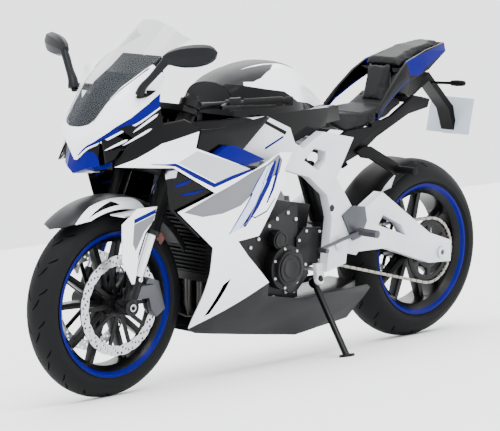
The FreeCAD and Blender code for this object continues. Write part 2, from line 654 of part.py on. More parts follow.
def clutch_cover():
    main = across(715, 372, 86.0, -168, -ENGINE_HALF)
    dome = across(715, 372, 64.0, -182, -168)
    return fused([main, dome])


def radiator():
    core = Part.makeBox(26, 290, 200, V(1054, -145, 362))
    tank = Part.makeBox(34, 310, 34, V(1050, -155, 562))
    low = Part.makeBox(34, 310, 26, V(1050, -155, 336))
    stay = [Part.makeBox(60, 14, 14, V(996, y, 570)) for y in (-60, 46)]
    return fused([core, tank, low] + stay).cut(engine_block())


def exhaust():
    pipes = []
    for y in (-96, -32, 32, 96):
        pipes.append(bent_tube([V(1000, y, 540), V(1025, y, 500), V(1025, y * 0.9, 205), V(760, y * 0.45, 182)],
                               17.0, 40.0))
    box = loft([[V(x, -w, z0), V(x, w, z0), V(x, w, z1), V(x, -w, z1)] for x, w, z0, z1 in (
        (780, 56, 150, 220), (640, 80, 140, 224), (420, 80, 142, 230), (330, 64, 170, 244))])
    return fused(pipes + [box]).cut(engine_block())


# Bodywork.

SIDE_ROWS = [
    (1500, [(92, 900), (118, 800), (128, 740), (112, 640), (80, 470), (56, 320), (46, 200), (40, 90)]),
    (1350, [(165, 900), (190, 800), (197, 740), (186, 640), (150, 470), (110, 320), (66, 200), (50, 90)]),
    (1200, [(188, 900), (210, 800), (218, 740), (212, 640), (184, 470), (142, 320), (84, 200), (56, 90)]),
    (1050, [(200, 900), (218, 800), (228, 740), (226, 640), (205, 470), (172, 320), (118, 200), (66, 90)]),
    (900, [(205, 900), (220, 800), (228, 740), (224, 640), (206, 470), (178, 320), (130, 200), (72, 90)]),
    (600, [(200, 900), (212, 800), (218, 740), (214, 640), (198, 470), (172, 320), (132, 200), (75, 90)]),
    (250, [(180, 900), (192, 800), (198, 740), (194, 640), (178, 470), (150, 320), (110, 200), (60, 90)]),
]
SIDE_OUTLINE = [(1489, 748), (1200, 850), (1225, 789), (981, 696), (807, 742), (829, 700), (860, 617), (939, 483),
                (1031, 475), (979, 421), (862, 318), (1143, 191), (1125, 377), (1129, 463), (1280, 592),
                (1141, 641), (1310, 736)]
BELLY_OUTLINE = [(861, 317), (1142, 190), (1112, 172), (645, 100), (391, 124), (317, 225),
                 (340, 240), (560, 236), (700, 240), (846, 268)]
INTAKE_OUTLINE = [(1309, 735), (1142, 641), (1279, 591.5), (1300, 640), (1330, 700)]
INNER_OUTLINE = [(1330, 720), (1300, 600), (1180, 500), (1040, 560), (1010, 640), (1000, 690), (1224, 780), (1300, 790)]


def side_skin(inset=0.0, thickness=PANEL_T):
    rows = [(x, [(y - inset, z) for y, z in points]) for x, points in SIDE_ROWS]
    return skin_along(rows, thickness)


def side_fairing():
    return side_skin().common(plate(SIDE_OUTLINE, 20, 300))


def belly_pan():
    side = side_skin().common(plate(BELLY_OUTLINE, 20, 300))
    floor = plate([(1112, 172), (645, 100), (391, 124), (391, 128), (645, 104), (1110, 176)], -120, 120)
    halfwidth = loft([[V(x, -y, 60), V(x, y, 60), V(x, y, 170), V(x, -y, 170)] for x, y in (
        (1150, 66), (1050, 74), (900, 80), (600, 84), (250, 70))])
    return fused([side, mirrored(side), floor.common(halfwidth)])


def inner_fairings():
    left = side_skin(14.0, 3.0).common(plate(INNER_OUTLINE, 20, 300))
    lip = side_skin(PANEL_T + 0.6, 10.0).common(plate([(1224, 779), (1000, 691), (1010, 685), (1230, 772)], 20, 300))
    left = fused([left, lip])
    return Part.Compound(list(both_sides(left)))


DUCT_OUTLINE = [(1172, 842), (1074, 841), (890, 862), (869, 857), (990, 764), (930, 731), (1015, 714), (1195, 776)]
SCOOP_OUTLINE = [(1137, 761), (1082, 787), (1045, 782), (925, 730), (1015, 716)]


def side_core(inset):
    """The room inside the left half of the fairing, to trim what reaches out to a panel."""
    rows = []
    for x, points in SIDE_ROWS:
        rows.append([V(x, 0, points[0][1])] + [V(x, y - inset, z) for y, z in points] + [V(x, 0, points[-1][1])])
    return loft(rows)


def duct_covers():
    cover = plate(DUCT_OUTLINE, 184, 188)
    tab = across(1000, 790, 8.0, 100, 185).cut(frame_side())
    tab = max(tab.Solids, key=lambda one: one.BoundBox.YMax)
    return Part.Compound(list(both_sides(fused([cover, tab]))))


def duct_scoops():
    block = plate(SCOOP_OUTLINE, 188 + SEAT, 240).common(side_core(PANEL_T + SEAT))
    return Part.Compound(list(both_sides(biggest(block))))


def bracket_to(skin, x, z, y0):
    """A spacer from a carrier's side face out to the inside of a panel."""
    bar = across(x, z, 8.0, y0, 260.0).cut(skin)
    return min(bar.Solids, key=lambda one: one.BoundBox.YMin)


def fairing_brackets():
    skin = side_skin().fuse(side_skin(14.0, 3.0).common(plate(INNER_OUTLINE, 20, 300)))
    left = [bracket_to(skin, 850, 712, SPAR_OUTER_Y + 0.05), bracket_to(skin, 1067, 579, 155.05),
            bracket_to(skin, 876, 262, ENGINE_HALF + 0.05)]
    return Part.Compound([s for one in left for s in both_sides(one)])


COWL_ROWS = [
    (0, [(1531, 762), (1552, 812), (1538, 867)]),
    (40, [(1515, 807), (1537, 846), (1525, 880)]),
    (76, [(1494, 855), (1512, 882), (1500, 905)]),
    (110, [(1458, 892), (1470, 922), (1455, 950)]),
    (150, [(1400, 925), (1408, 962), (1395, 1000)]),
    (188, [(1335, 957), (1338, 1000), (1318, 1045)]),
]
SCREEN_ROWS = [
    (0, [(1537, 868.7), (1380, 1045), (1216, 1179)]),
    (60, [(1508.8, 894.6), (1368, 1042), (1207, 1166)]),
    (110, [(1452, 953), (1318, 1056), (1185, 1136)]),
    (150, [(1392, 1003), (1275, 1062), (1158, 1094)]),
]


def upper_cowl():
    return fused(list(both_sides(skin_across(COWL_ROWS, PANEL_T))))


def windscreen():
    return fused(list(both_sides(skin_across(SCREEN_ROWS, SCREEN_T))))


def nose_beak():
    rows = [
        (0, [(1530, 760), (1542, 722), (1470, 716), (1470, 760)]),
        (40, [(1513, 805), (1530, 738), (1466, 722), (1466, 805)]),
        (76, [(1491, 852), (1508, 748), (1446, 730), (1446, 852)]),
    ]
    left = loft([[V(x, y, z) for x, z in pts] for y, pts in rows])
    return fused(list(both_sides(left)))


def headlamp():
    return loft([[V(x, y, z) for y, z in pts] for x, pts in (
        (1492, [(76.1, 755), (112, 757), (100, 870), (76.1, 862)]),
        (1400, [(104, 800), (164, 806), (150, 926), (104, 918)]),
        (1335, [(146, 872), (190, 870), (188, 962), (146, 952)]),
    )])


def headlamps():
    left = biggest(headlamp().cut(upper_cowl()).cut(side_skin(0.0, 30.0)))
    return Part.Compound(list(both_sides(left)))


def biggest(shape):
    return max(shape.Solids, key=lambda one: one.Volume)


def fairing_stay():
    """The stay from the steering head that carries the nose, the instruments and the mirrors."""
    beam = plate([(1175, 762), (1190, 836), (1330, 800), (1469.9, 757), (1469.9, 722), (1330, 765)], -16, 16)
    head = cylinder(on_fork(HEAD_LOW_S - 20, 0, -FORK_OFFSET), UP_FORK, HEAD_R, HEAD_TOP_S - HEAD_LOW_S + 40)
    beam = beam.cut(head)
    post = plate([(1340, 790), (1362, 784), (1376, 960), (1352, 960)], -12, 12)
    bar = Part.makeBox(24, 380, 20, V(1352, -190, 958))
    bar = biggest(bar.cut(upper_cowl()))
    return biggest(fused([beam, post, bar]).cut(upper_cowl()).cut(headlamps()).cut(nose_beak()))


def dash_panel():
    """The instrument hood under the screen, its face towards the rider."""
    hood = loft([[V(x, -w, z0), V(x, w, z0), V(x, w * 0.9, z1), V(x, -w * 0.9, z1)] for x, w, z0, z1 in (
        (1376, 96, 978.1, 990), (1300, 104, 992, 1032), (1250, 100, 1004, 1072))])
    leg = Part.makeBox(24, 60, 20, V(1352, -30, 978.05))
    return fused([hood, leg])


def mirror():
    base = V(1384, 158, 985)
    neck = V(1392, 190, 1010)
    joint = V(1352, 262, 1078)
    arm = bent_tube([base, neck, joint], 8.0, 20.0)
    head = loft([[V(x + dx, y, z) for dx, z in ((-11, z0), (9, z0 + 4), (13, (z0 + z1) / 2), (7, z1), (-11, z1))]
                 for x, y, z0, z1 in ((1366, 232, 1082, 1108), (1350, 262, 1064, 1124), (1322, 330, 1058, 1128),
                                      (1294, 398, 1078, 1120))])
    return biggest(fused([arm, head]).cut(upper_cowl()))


def mirrors():
    return Part.Compound(list(both_sides(mirror())))


TANK_BASE_Z = 862.0
TANK_ROWS = [
    (962, [(0, 966), (40, 963), (84, 948), (110, 915), (118, TANK_BASE_Z)]),
    (900, [(0, 994), (50, 989), (100, 970), (130, 925), (138, TANK_BASE_Z)]),
    (830, [(0, 1014), (56, 1008), (112, 982), (148, 928), (152, TANK_BASE_Z)]),
    (750, [(0, 1023), (58, 1016), (114, 984), (150, 926), (154, TANK_BASE_Z)]),
    (680, [(0, 1016), (52, 1009), (102, 975), (134, 920), (142, TANK_BASE_Z)]),
    (610, [(0, 994), (40, 987), (78, 950), (102, 902), (112, TANK_BASE_Z)]),
    (550, [(0, 958), (30, 951), (56, 918), (74, 884), (84, TANK_BASE_Z)]),
    (484, [(0, 882), (22, 880), (38, 874), (50, 868), (58, TANK_BASE_Z)]),
]


def tank_cover():
    sections = []
    for x, half in TANK_ROWS:
        ring = [V(x, y, z) for y, z in half] + [V(x, -y, z) for y, z in half[::-1][:-1]]
        sections.append(ring)
    return loft(sections)


def tank_sides():
    side = plate([(875, TANK_BASE_Z), (480, TANK_BASE_Z), (470, 812), (600, 800), (700, 778), (875, 800)], 96, 120)
    knee = plate([(860, TANK_BASE_Z), (540, TANK_BASE_Z), (560, 802), (600, 792), (700, 760), (840, 830)], 119, SPAR_INNER_Y - SEAT)
    return Part.Compound(list(both_sides(fused([side, knee]))))


SEAT_BASE = [(478, 808), (436, 772), (330, 776), (214, 805), (130, 850)]


def rider_seat():
    tops = [858, 836, 818, 832, 868]
    halves = [80, 112, 120, 112, 100]
    sections = []
    for (x, z0), z1, w in zip(SEAT_BASE, tops, halves):
        sections.append([V(x, -w, z0), V(x, -w * 0.86, z1), V(x, w * 0.86, z1), V(x, w, z0)])
    return loft(sections)


def seat_pad():
    """The raised pad behind the rider, up to the pillion seat."""
    pad = loft([[V(x, -w, z0), V(x, w, z0), V(x, w * 0.9, z1), V(x, -w * 0.9, z1)] for x, w, z0, z1 in (
        (190, 50, 846, 850), (172, 56, 852, 900), (152, 60, 862, 962), (140.1, 60, 869, 984))])
    return pad.cut(rider_seat())


def pillion_seat():
    sections = []
    for x, w, z0, z1 in ((140, 84, 961, 986), (0, 78, 993, 1024), (-118, 52, 1018, 1042)):
        sections.append([V(x, -w, z0), V(x, -w * 0.8, z1), V(x, w * 0.8, z1), V(x, w, z0)])
    return loft(sections)


def tail_cowl():
    blade = loft([
        [V(300, 124, 800), V(300, 136, 800), V(300, 136, 822), V(300, 124, 822)],
        [V(240, 118, 850), V(240, 128, 850), V(240, 126, 884), V(240, 116, 884)],
        [V(165, 106, 895), V(165, 118, 895), V(165, 114, 948), V(165, 102, 948)],
        [V(110, 96, 925), V(110, 110, 915), V(110, 100, 984), V(110, 90, 984)],
        [V(0, 86, 955), V(0, 100, 950), V(0, 84, 1016), V(0, 78, 1016)],
        [V(-126, 60, 1006), V(-126, 66, 1004), V(-126, 58, 1034), V(-126, 53, 1034)],
    ])
    deck = loft([[V(x, -w, z - 14), V(x, w, z - 14), V(x, w, z), V(x, -w, z)] for x, w, z in (
        (140, 95, 961), (0, 86, 993), (-126, 60, 1020))])
    column = plate([(140, 947), (140, 869), (129, 869), (129, 860), (60, 860), (20, 972)], -50, 50)
    return fused([deck, column] + list(both_sides(blade))).cut(pillion_seat())


def tail_lamp():
    return loft([[V(x, -w, z0), V(x, w, z0), V(x, w, z1), V(x, -w, z1)] for x, w, z0, z1 in (
        (-126.1, 52, 1006, 1034), (-140, 44, 1012, 1030))])


def rear_subframe():
    under = [(x, z) for x, z in SEAT_BASE[1:]]
    rail = plate(under + [(100, 868), (60, 859.9), (20, 850), (30, 822), (130, 806), (290, 740), (371, 690), (530, 640), (545, 652),
                          (466, 757)], 106, 122)
    left, right = both_sides(rail)
    ties = [across(x, z, 12.0, -108, 108) for x, z in ((430, 740), (250, 778))]
    deck = plate([(128, 859.9), (60, 859.9), (20, 850), (20, 846), (60, 846), (128, 846)], -108, 108)
    ears = both_sides(plate([(540, 660), (470, 745), (440, 735), (500, 660)], 108, SPAR_INNER_Y - SEAT))
    tabs = both_sides(plate([(330, 776), (290, 786), (290, 800), (302, 800), (330, 790)], 121, 136))
    return fused([left, right, deck] + ties + list(ears) + list(tabs))


def plate_holder():
    stem = plate([(40, 845.9), (20, 846), (-80, 930), (-212, 800), (-236, 700), (-222, 700), (-190, 790), (-80, 900), (40, 832)],
                 -30, 30)
    return stem


def number_plate():
    face = Part.makeBox(3.0, 200, 130, V(0, -100, -65))
    face.Placement = FreeCAD.Placement(V(-232, 0, 765), FreeCAD.Rotation(Y_AXIS, -13))
    return face.cut(plate_holder())


def pillion_pegs():
    bracket = plate([(400, 700), (371, 712), (330, 712), (190, 640), (170, 610), (196, 600), (330, 668), (371, 676)], 122.1, 134)
    peg = cylinder(V(200, 134, 622), V(0, 1, 0), 13.0, 84.0)
    return Part.Compound(list(both_sides(fused([bracket, peg]))))


def rearset_left():
    heel = plate([(520, 500), (470, 528), (410, 520), (400, 470), (430, 418), (470, 410)], SPAR_OUTER_Y, SPAR_OUTER_Y + 6)
    peg = across(440, 438, 13.0, SPAR_OUTER_Y + 5, SPAR_OUTER_Y + 90)
    lever = bent_tube([V(440, SPAR_OUTER_Y + 14, 438), V(520, SPAR_OUTER_Y + 14, 424), V(640, SPAR_OUTER_Y + 16, 400)], 6.0, 30.0)
    toe = across(640, 400, 8.0, SPAR_OUTER_Y + 14, SPAR_OUTER_Y + 52)
    return fused([heel, peg, lever, toe])


def rearsets():
    return Part.Compound(list(both_sides(rearset_left())))


# How the bike stands: the road plane that both tyres touch at this lean, and the move that makes it level.

def lean_placement():
    lean = math.radians(LEAN_DEG)
    rise = (FRONT_TYRE_R - FRONT_CROWN_R - REAR_TYRE_R + REAR_CROWN_R) * math.cos(lean)
    pitch = (rise + FRONT_CROWN_R - REAR_CROWN_R - math.cos(lean) * (FRONT_TYRE_R - REAR_TYRE_R)) / WHEELBASE
    normal = V(pitch, -math.sin(lean), math.cos(lean)).normalize()
    height = (REAR_TYRE_R - REAR_CROWN_R) * math.hypot(normal.x, normal.z) + REAR_CROWN_R
    turn = FreeCAD.Rotation(normal, V(0, 0, 1))
    raised = turn.multVec(REAR_AXLE).z
    return FreeCAD.Placement(V(0, 0, height - raised), turn)


LEAN = lean_placement()
STAND_PIVOT = V(598, 142, 286)
STAND_PIN_R = 6.0
STAND_FOOT_X = 640.0
STAND_FOOT_Y = 318.0


def road_point(x, y):
    """The bike-frame point on the road that stands at x, y in the bike frame."""
    up = LEAN.Rotation.inverted().multVec(V(0, 0, 1))
    base = LEAN.inverse().multVec(V(0, 0, 0))
    z = (up.dot(base) - up.x * x - up.y * y) / up.z
    return V(x, y, z)


STAND_FOOT = road_point(STAND_FOOT_X, STAND_FOOT_Y)


def stand_axis():
    """The pivot's axis: as far from the leg standing as from the leg folded back along the belly."""
    down = (STAND_FOOT - STAND_PIVOT).normalize()
    folded = V(-0.97, 0.16, 0.02).normalize()
    differ = down - folded
    tilt = math.atan2(differ.y, -differ.z)
    return V(0, math.cos(tilt), math.sin(tilt))


STAND_AXIS = stand_axis()

NODES = {
    "main_frame": main_frame, "pivot_axle": pivot_axle, "swingarm": swingarm, "rear_axle": rear_axle,
    "chain": chain, "output_sprocket": output_sprocket, "rear_caliper": rear_caliper, "rear_hugger": rear_hugger,
    "shock_absorber": shock_absorber, "side_stand": side_stand,
    "engine_block": engine_block, "alternator_cover": alternator_cover,
    "clutch_cover": clutch_cover, "sprocket_cover": sprocket_cover, "radiator": radiator, "exhaust": exhaust,
    "side_fairing_left": side_fairing, "side_fairing_right": lambda: mirrored(side_fairing()),
    "belly_pan": belly_pan, "inner_fairings": inner_fairings, "fairing_brackets": fairing_brackets,
    "duct_covers": duct_covers, "duct_scoops": duct_scoops, "fairing_stay": fairing_stay,
    "upper_cowl": upper_cowl, "windscreen": windscreen, "nose_beak": nose_beak, "headlamps": headlamps,
    "dash_panel": dash_panel, "mirrors": mirrors, "tank_cover": tank_cover, "tank_sides": tank_sides,
    "rider_seat": rider_seat, "seat_pad": seat_pad, "pillion_seat": pillion_seat, "tail_cowl": tail_cowl, "tail_lamp": tail_lamp,
    "plate_holder": plate_holder, "number_plate": number_plate, "pillion_pegs": pillion_pegs,
    "rearsets": rearsets, "rear_subframe": rear_subframe, "front_rim": front_rim, "rear_rim": rear_rim,
    "front_tyre": lambda: tyre(FRONT_AXLE, FRONT_TYRE_R, FRONT_TYRE_W, FRONT_CROWN_R, FRONT_RIM_W),
    "rear_tyre": lambda: tyre(REAR_AXLE, REAR_TYRE_R, REAR_TYRE_W, REAR_CROWN_R, REAR_RIM_W),
    "front_discs": front_discs, "rear_disc": rear_disc, "rear_sprocket": rear_sprocket,
    "fork_legs": fork_legs, "steering_stem": steering_stem, "top_yoke": top_yoke, "handlebars": handlebars,
    "front_axle": front_axle, "front_calipers": front_calipers, "front_fender": front_fender,
}


def standing(shapes):
    """Leans every shape and returns them with the shift that puts the origin under the middle."""
    leant = {}
    for name, shape in shapes.items():
        shape.Placement = LEAN.multiply(shape.Placement)
        leant[name] = shape
    boxes = [shape.optimalBoundingBox(False) for shape in leant.values()]
    x = (min(b.XMin for b in boxes) + max(b.XMax for b in boxes)) / 2.0
    y = (min(b.YMin for b in boxes) + max(b.YMax for b in boxes)) / 2.0
    shift = V(-x, -y, -min(b.ZMin for b in boxes))
    return leant, shift


def main():
    os.makedirs("parts", exist_ok=True)
    shapes, shift = standing({name: make() for name, make in NODES.items()})
    for name, shape in shapes.items():
        shape.translate(shift)
        shape.exportStep(f"parts/{name}.step")
    return shift


SHIFT = main()
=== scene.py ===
import json
import math

import bmesh
import bpy
from mathutils import Matrix, Vector

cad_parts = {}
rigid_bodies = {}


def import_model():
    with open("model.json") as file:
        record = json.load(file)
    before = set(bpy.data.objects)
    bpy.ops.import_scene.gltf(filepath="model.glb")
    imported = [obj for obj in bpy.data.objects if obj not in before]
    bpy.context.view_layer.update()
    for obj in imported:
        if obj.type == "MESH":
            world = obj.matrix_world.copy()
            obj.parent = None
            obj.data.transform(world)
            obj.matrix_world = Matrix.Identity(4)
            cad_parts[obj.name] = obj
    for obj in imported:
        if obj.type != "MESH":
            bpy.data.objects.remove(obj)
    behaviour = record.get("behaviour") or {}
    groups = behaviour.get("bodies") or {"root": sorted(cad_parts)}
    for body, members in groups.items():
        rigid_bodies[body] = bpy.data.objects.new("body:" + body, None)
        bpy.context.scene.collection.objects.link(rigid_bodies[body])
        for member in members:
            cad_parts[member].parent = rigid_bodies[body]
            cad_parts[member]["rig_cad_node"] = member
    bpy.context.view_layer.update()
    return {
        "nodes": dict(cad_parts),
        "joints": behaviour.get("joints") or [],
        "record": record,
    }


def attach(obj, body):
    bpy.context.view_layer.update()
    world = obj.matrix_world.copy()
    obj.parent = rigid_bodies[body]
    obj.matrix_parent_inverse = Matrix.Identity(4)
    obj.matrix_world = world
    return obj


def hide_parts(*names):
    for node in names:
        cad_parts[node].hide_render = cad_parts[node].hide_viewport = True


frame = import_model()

# A fully faired sport bike on its side stand. Pieces are worked on the upright bike in millimetres, X forward
# from the rear axle, Y to the rider's left and Z up, and are then leant over with the CAD model.

CAD = frame["nodes"]
BODY_OF = {node: body for body, nodes in frame["record"]["behaviour"]["bodies"].items() for node in nodes}
MM = 0.001
WHEELBASE = 1415.0
FRONT_TYRE_R = 300.0
REAR_TYRE_R = 315.0
FRONT_AXLE = Vector((WHEELBASE, 0.0, FRONT_TYRE_R))
REAR_AXLE = Vector((0.0, 0.0, REAR_TYRE_R))
RAKE = math.radians(24.0)
UP_FORK = Vector((-math.sin(RAKE), 0.0, math.cos(RAKE)))
# The two axes on which a border is drawn: those of a flat sheet, or X and Z as seen from the side.
FLAT = (0, 1)
SIDE_VIEW = (0, 2)


def standing_matrix():
    """Takes upright millimetres to the metres of the leaning bike, from where the two wheels turn."""
    spin = {joint["name"]: joint for joint in frame["joints"]}
    rear = Vector(spin["rear_wheel_spin"]["pos_m"])
    along = (Vector(spin["front_wheel_spin"]["pos_m"]) - rear).normalized()
    left = Vector(spin["rear_wheel_spin"]["axis"]).normalized()
    drop = math.atan2(REAR_AXLE.z - FRONT_AXLE.z, WHEELBASE)
    over = along.cross(left)
    forward = along * math.cos(drop) + over * math.sin(drop)
    up = over * math.cos(drop) - along * math.sin(drop)
    turn = Matrix((forward, left, up)).transposed().to_4x4()
    return Matrix.Translation(rear) @ turn @ Matrix.Scale(MM, 4) @ Matrix.Translation(-REAR_AXLE)


STANDING = standing_matrix()
UPRIGHT = STANDING.inverted()
MIRROR = Matrix.Scale(-1.0, 4, (0.0, 1.0, 0.0))


# Finishes. Colours are sRGB hex; one function turns them to linear.

def linear(colour):
    channels = [int(colour[i:i + 2], 16) / 255.0 for i in (0, 2, 4)]
    return tuple(c / 12.92 if c <= 0.04045 else ((c + 0.055) / 1.055) ** 2.4 for c in channels) + (1.0,)


def add(material, kind, values=None, links=None, **settings):
    """Adds one node with its settings, its socket values and its links from other nodes' outputs."""
    tree = material.node_tree
    node = tree.nodes.new("ShaderNode" + kind)
    for key, value in settings.items():
        setattr(node, key, value)
    for key, value in (values or {}).items():
        node.inputs[key].default_value = value
    for key, (source, output) in (links or {}).items():
        tree.links.new(source.outputs[output], node.inputs[key])
    return node


def ramp(material, source, output, stops):
    node = add(material, "ValToRGB", links={"Fac": (source, output)})
    points = node.color_ramp.elements
    while len(points) < len(stops):
        points.new(0.5)
    for point, (place, colour) in zip(points, stops):
        point.position = place
        point.color = colour
    return node


def surface(name, shade, rough, tones, grain_mm, bump_mm, rough_spread=0.08, metallic=0.0, shine=0.5,
            coat=(0.0, 0.03)):
    """One finish: a base shade that drifts a little, uneven roughness, and the grain of how it was made."""
    material = bpy.data.materials.new(name)
    material.use_nodes = True
    material.node_tree.nodes.clear()
    place = add(material, "TexCoord")
    drift = add(material, "TexNoise", {"Scale": 9.0, "Detail": 3.0}, {"Vector": (place, "Object")})
    fine = add(material, "TexNoise", {"Scale": 1.0 / (grain_mm * MM), "Detail": 2.0},
               {"Vector": (place, "Object")})
    base = linear(shade)
    low, high = [tuple(min(1.0, c * k) for c in base[:3]) + (1.0,) for k in (1.0 - tones, 1.0 + tones)]
    colour = ramp(material, drift, "Fac", [(0.35, low), (0.65, high)])
    smoothest, roughest = max(0.02, rough - rough_spread), rough + rough_spread
    gloss = add(material, "MapRange", {"To Min": smoothest, "To Max": roughest}, {"Value": (drift, "Fac")})
    bump = add(material, "Bump", {"Strength": 0.35, "Distance": bump_mm * MM}, {"Height": (fine, "Fac")})
    shader = add(material, "BsdfPrincipled",
                 {"Metallic": metallic, "Specular IOR Level": shine, "Coat Weight": coat[0],
                  "Coat Roughness": coat[1]},
                 {"Base Color": (colour, "Color"), "Roughness": (gloss, "Result"),
                  "Normal": (bump, "Normal")})
    add(material, "OutputMaterial", links={"Surface": (shader, "BSDF")})
    return material


# Sprayed enamel under clear lacquer: a sharp reflection over a slight orange peel of about 2 mm.
WHITE = surface("white_lacquered_enamel", "eef0f3", 0.3, 0.02, 2.0, 0.02, 0.04, coat=(0.6, 0.06))
BLUE = surface("blue_lacquered_enamel", "01005e", 0.25, 0.06, 2.0, 0.02, 0.04, shine=0.08)
PALE_BLUE = surface("pale_blue_enamel", "b9c4ee", 0.3, 0.03, 2.0, 0.02, 0.04, coat=(0.4, 0.06))
GREY = surface("grey_lacquered_enamel", "66686c", 0.32, 0.04, 2.0, 0.02, 0.04, shine=0.3)
LIGHT_GREY = surface("light_grey_enamel", "aeb1b6", 0.32, 0.03, 2.0, 0.02, 0.04, coat=(0.4, 0.08))
DARK_GREY = surface("dark_grey_enamel", "17181a", 0.4, 0.08, 2.0, 0.02, 0.05, shine=0.2)
BLACK = surface("black_lacquered_enamel", "010102", 0.14, 0.2, 2.0, 0.02, 0.05, shine=0.14)
# Injection-moulded ABS with a fine spark-eroded grain of about 0.8 mm: soft, dull highlights.
PLASTIC = surface("moulded_black_abs", "030304", 0.5, 0.2, 0.8, 0.06, shine=0.1)
# Gunmetal paint over moulded plastic, as on the mirror heads.
GUNMETAL = surface("gunmetal_paint", "121416", 0.42, 0.08, 1.5, 0.03, 0.05, shine=0.12)
# Die-cast aluminium in satin silver powder coat; the cast skin shows as a 1 mm ripple.
FRAME_SILVER = surface("silver_powder_coat", "c6c9ce", 0.36, 0.04, 1.0, 0.04, 0.06, coat=(0.3, 0.15))
# Sand-cast aluminium in black paint: coarser 1.2 mm skin and a dull sheen.
ENGINE = surface("black_cast_aluminium", "070708", 0.4, 0.25, 1.2, 0.1, shine=0.22)
WHEEL = surface("black_wheel_paint", "020203", 0.3, 0.2, 1.5, 0.02, shine=0.2)
# Turned and ground steel: bright, with fine tool marks.
STEEL = surface("brushed_steel", "c4c6c9", 0.28, 0.05, 0.7, 0.02, 0.08, metallic=1.0)
CHROME = surface("hard_chrome", "d8dadd", 0.1, 0.02, 0.6, 0.005, 0.03, metallic=1.0)
ALUMINIUM = surface("machined_aluminium", "b9bcc0", 0.34, 0.05, 0.8, 0.03, 0.08, metallic=1.0)
BLACK_METAL = surface("black_anodised_aluminium", "030304", 0.38, 0.2, 0.8, 0.02, shine=0.2)
CHAIN_STEEL = surface("oiled_chain_steel", "8d8b84", 0.34, 0.12, 1.5, 0.04, 0.1, metallic=1.0)
TITANIUM = surface("brushed_exhaust_steel", "4a4947", 0.36, 0.12, 1.0, 0.03, 0.1, metallic=0.9)
# Moulded rubber: nearly black and dull, with a 1 mm skin.
RUBBER = surface("tyre_rubber", "08090a", 0.66, 0.2, 1.2, 0.08, 0.1, shine=0.15)
GROOVE = surface("tyre_groove_rubber", "020202", 0.8, 0.2, 1.2, 0.05, 0.1, shine=0.1)
GRIP = surface("grip_rubber", "040405", 0.62, 0.2, 1.0, 0.08, shine=0.15)
# Seat vinyl with a pebbled leather grain of about 1.6 mm.
VINYL = surface("black_seat_vinyl", "0c0d0e", 0.52, 0.15, 1.6, 0.25, 0.08, shine=0.2)
# Lenses and lamp glass: coloured or frosted polycarbonate with a sharp reflection.
LED_WHITE = surface("frosted_lamp_diffuser", "dfe4ea", 0.2, 0.04, 3.0, 0.1, 0.05, coat=(1.0, 0.03))
AMBER = surface("amber_lens", "3c0c01", 0.18, 0.1, 2.0, 0.05, 0.05, shine=0.3)
RED = surface("red_lens", "6a0508", 0.18, 0.1, 2.0, 0.05, 0.05, shine=0.3)
# The remaining trim: a matt liner under the screen, anodised calipers, the blank plate, radiator fins.
LINER = surface("matt_black_liner", "030304", 0.9, 0.2, 4.0, 0.004, shine=0.02)
CALIPER = surface("grey_anodised_aluminium", "4a4c50", 0.36, 0.08, 0.8, 0.03, 0.08, metallic=0.8)
PLATE = surface("pale_plate_enamel", "b9c4d2", 0.42, 0.03, 2.0, 0.02)
CORE = surface("black_radiator_fins", "060607", 0.45, 0.2, 0.6, 0.05, shine=0.35)


def clear_plastic(name, tint, deep_tint, rough, seen):
    """Polycarbonate: mostly clear, a faint tint and a clean surface reflection."""
    material = bpy.data.materials.new(name)
    material.use_nodes = True
    material.node_tree.nodes.clear()
    place = add(material, "TexCoord")
    drift = add(material, "TexNoise", {"Scale": 6.0, "Detail": 1.0}, {"Vector": (place, "Object")})
    colour = ramp(material, drift, "Fac", [(0.3, linear(deep_tint)), (0.7, linear(tint))])
    shader = add(material, "BsdfPrincipled", {"Roughness": rough, "IOR": 1.58, "Alpha": seen},
                 {"Base Color": (colour, "Color")})
    add(material, "OutputMaterial", links={"Surface": (shader, "BSDF")})
    return material


SCREEN = clear_plastic("clear_polycarbonate", "4a5056", "3a4046", 0.05, 0.17)


# Working on pieces: selecting, cutting along painted lines, and finishing.

MERGE = (bpy.ops.mesh.remove_doubles, {"threshold": 0.02})
FLATTEN = (bpy.ops.mesh.dissolve_limited, {"angle_limit": math.radians(0.5)})
TURN_ROUND = (bpy.ops.mesh.flip_normals, {})
FACE_OUT = (bpy.ops.mesh.normals_make_consistent, {"inside": False})
TOUCH = 0.01


def only(piece):
    """Selects one piece and nothing else."""
    bpy.ops.object.select_all(action="DESELECT")
    bpy.context.view_layer.objects.active = piece
    piece.select_set(True)


def edit(piece):
    only(piece)
    bpy.ops.object.mode_set(mode="EDIT")
    bpy.context.tool_settings.mesh_select_mode = (False, False, True)
    bpy.ops.mesh.select_all(action="DESELECT")
    return bmesh.from_edit_mesh(piece.data)


def done():
    bpy.ops.object.mode_set(mode="OBJECT")


def modifier(piece, kind, **settings):
    """Adds one modifier with its settings and applies it."""
    only(piece)
    added = piece.modifiers.new(kind.lower(), kind)
    for key, value in settings.items():
        setattr(added, key, value)
    bpy.ops.object.modifier_apply(modifier=added.name)


def whole(piece, *operators):
    """Runs mesh operators on all of a piece."""
    edit(piece)
    for operator, settings in operators:
        bpy.ops.mesh.select_all(action="SELECT")
        operator(**settings)
    done()


def copied(piece, name, placement=None):
    """A copy with its own mesh, moved by a placement."""
    copy = piece.copy()
    copy.data = piece.data.copy()
    copy.name = name
    bpy.context.scene.collection.objects.link(copy)
    if placement is not None:
        copy.data.transform(placement)
        if placement.is_negative:
            whole(copy, TURN_ROUND)
    return copy


def joined(pieces, name):
    bpy.ops.object.select_all(action="DESELECT")
    for piece in pieces:
        piece.select_set(True)
    bpy.context.view_layer.objects.active = pieces[0]
    bpy.ops.object.join()
    pieces[0].name = name
    return pieces[0]


def discarded(piece):
    only(piece)
    bpy.ops.object.delete()


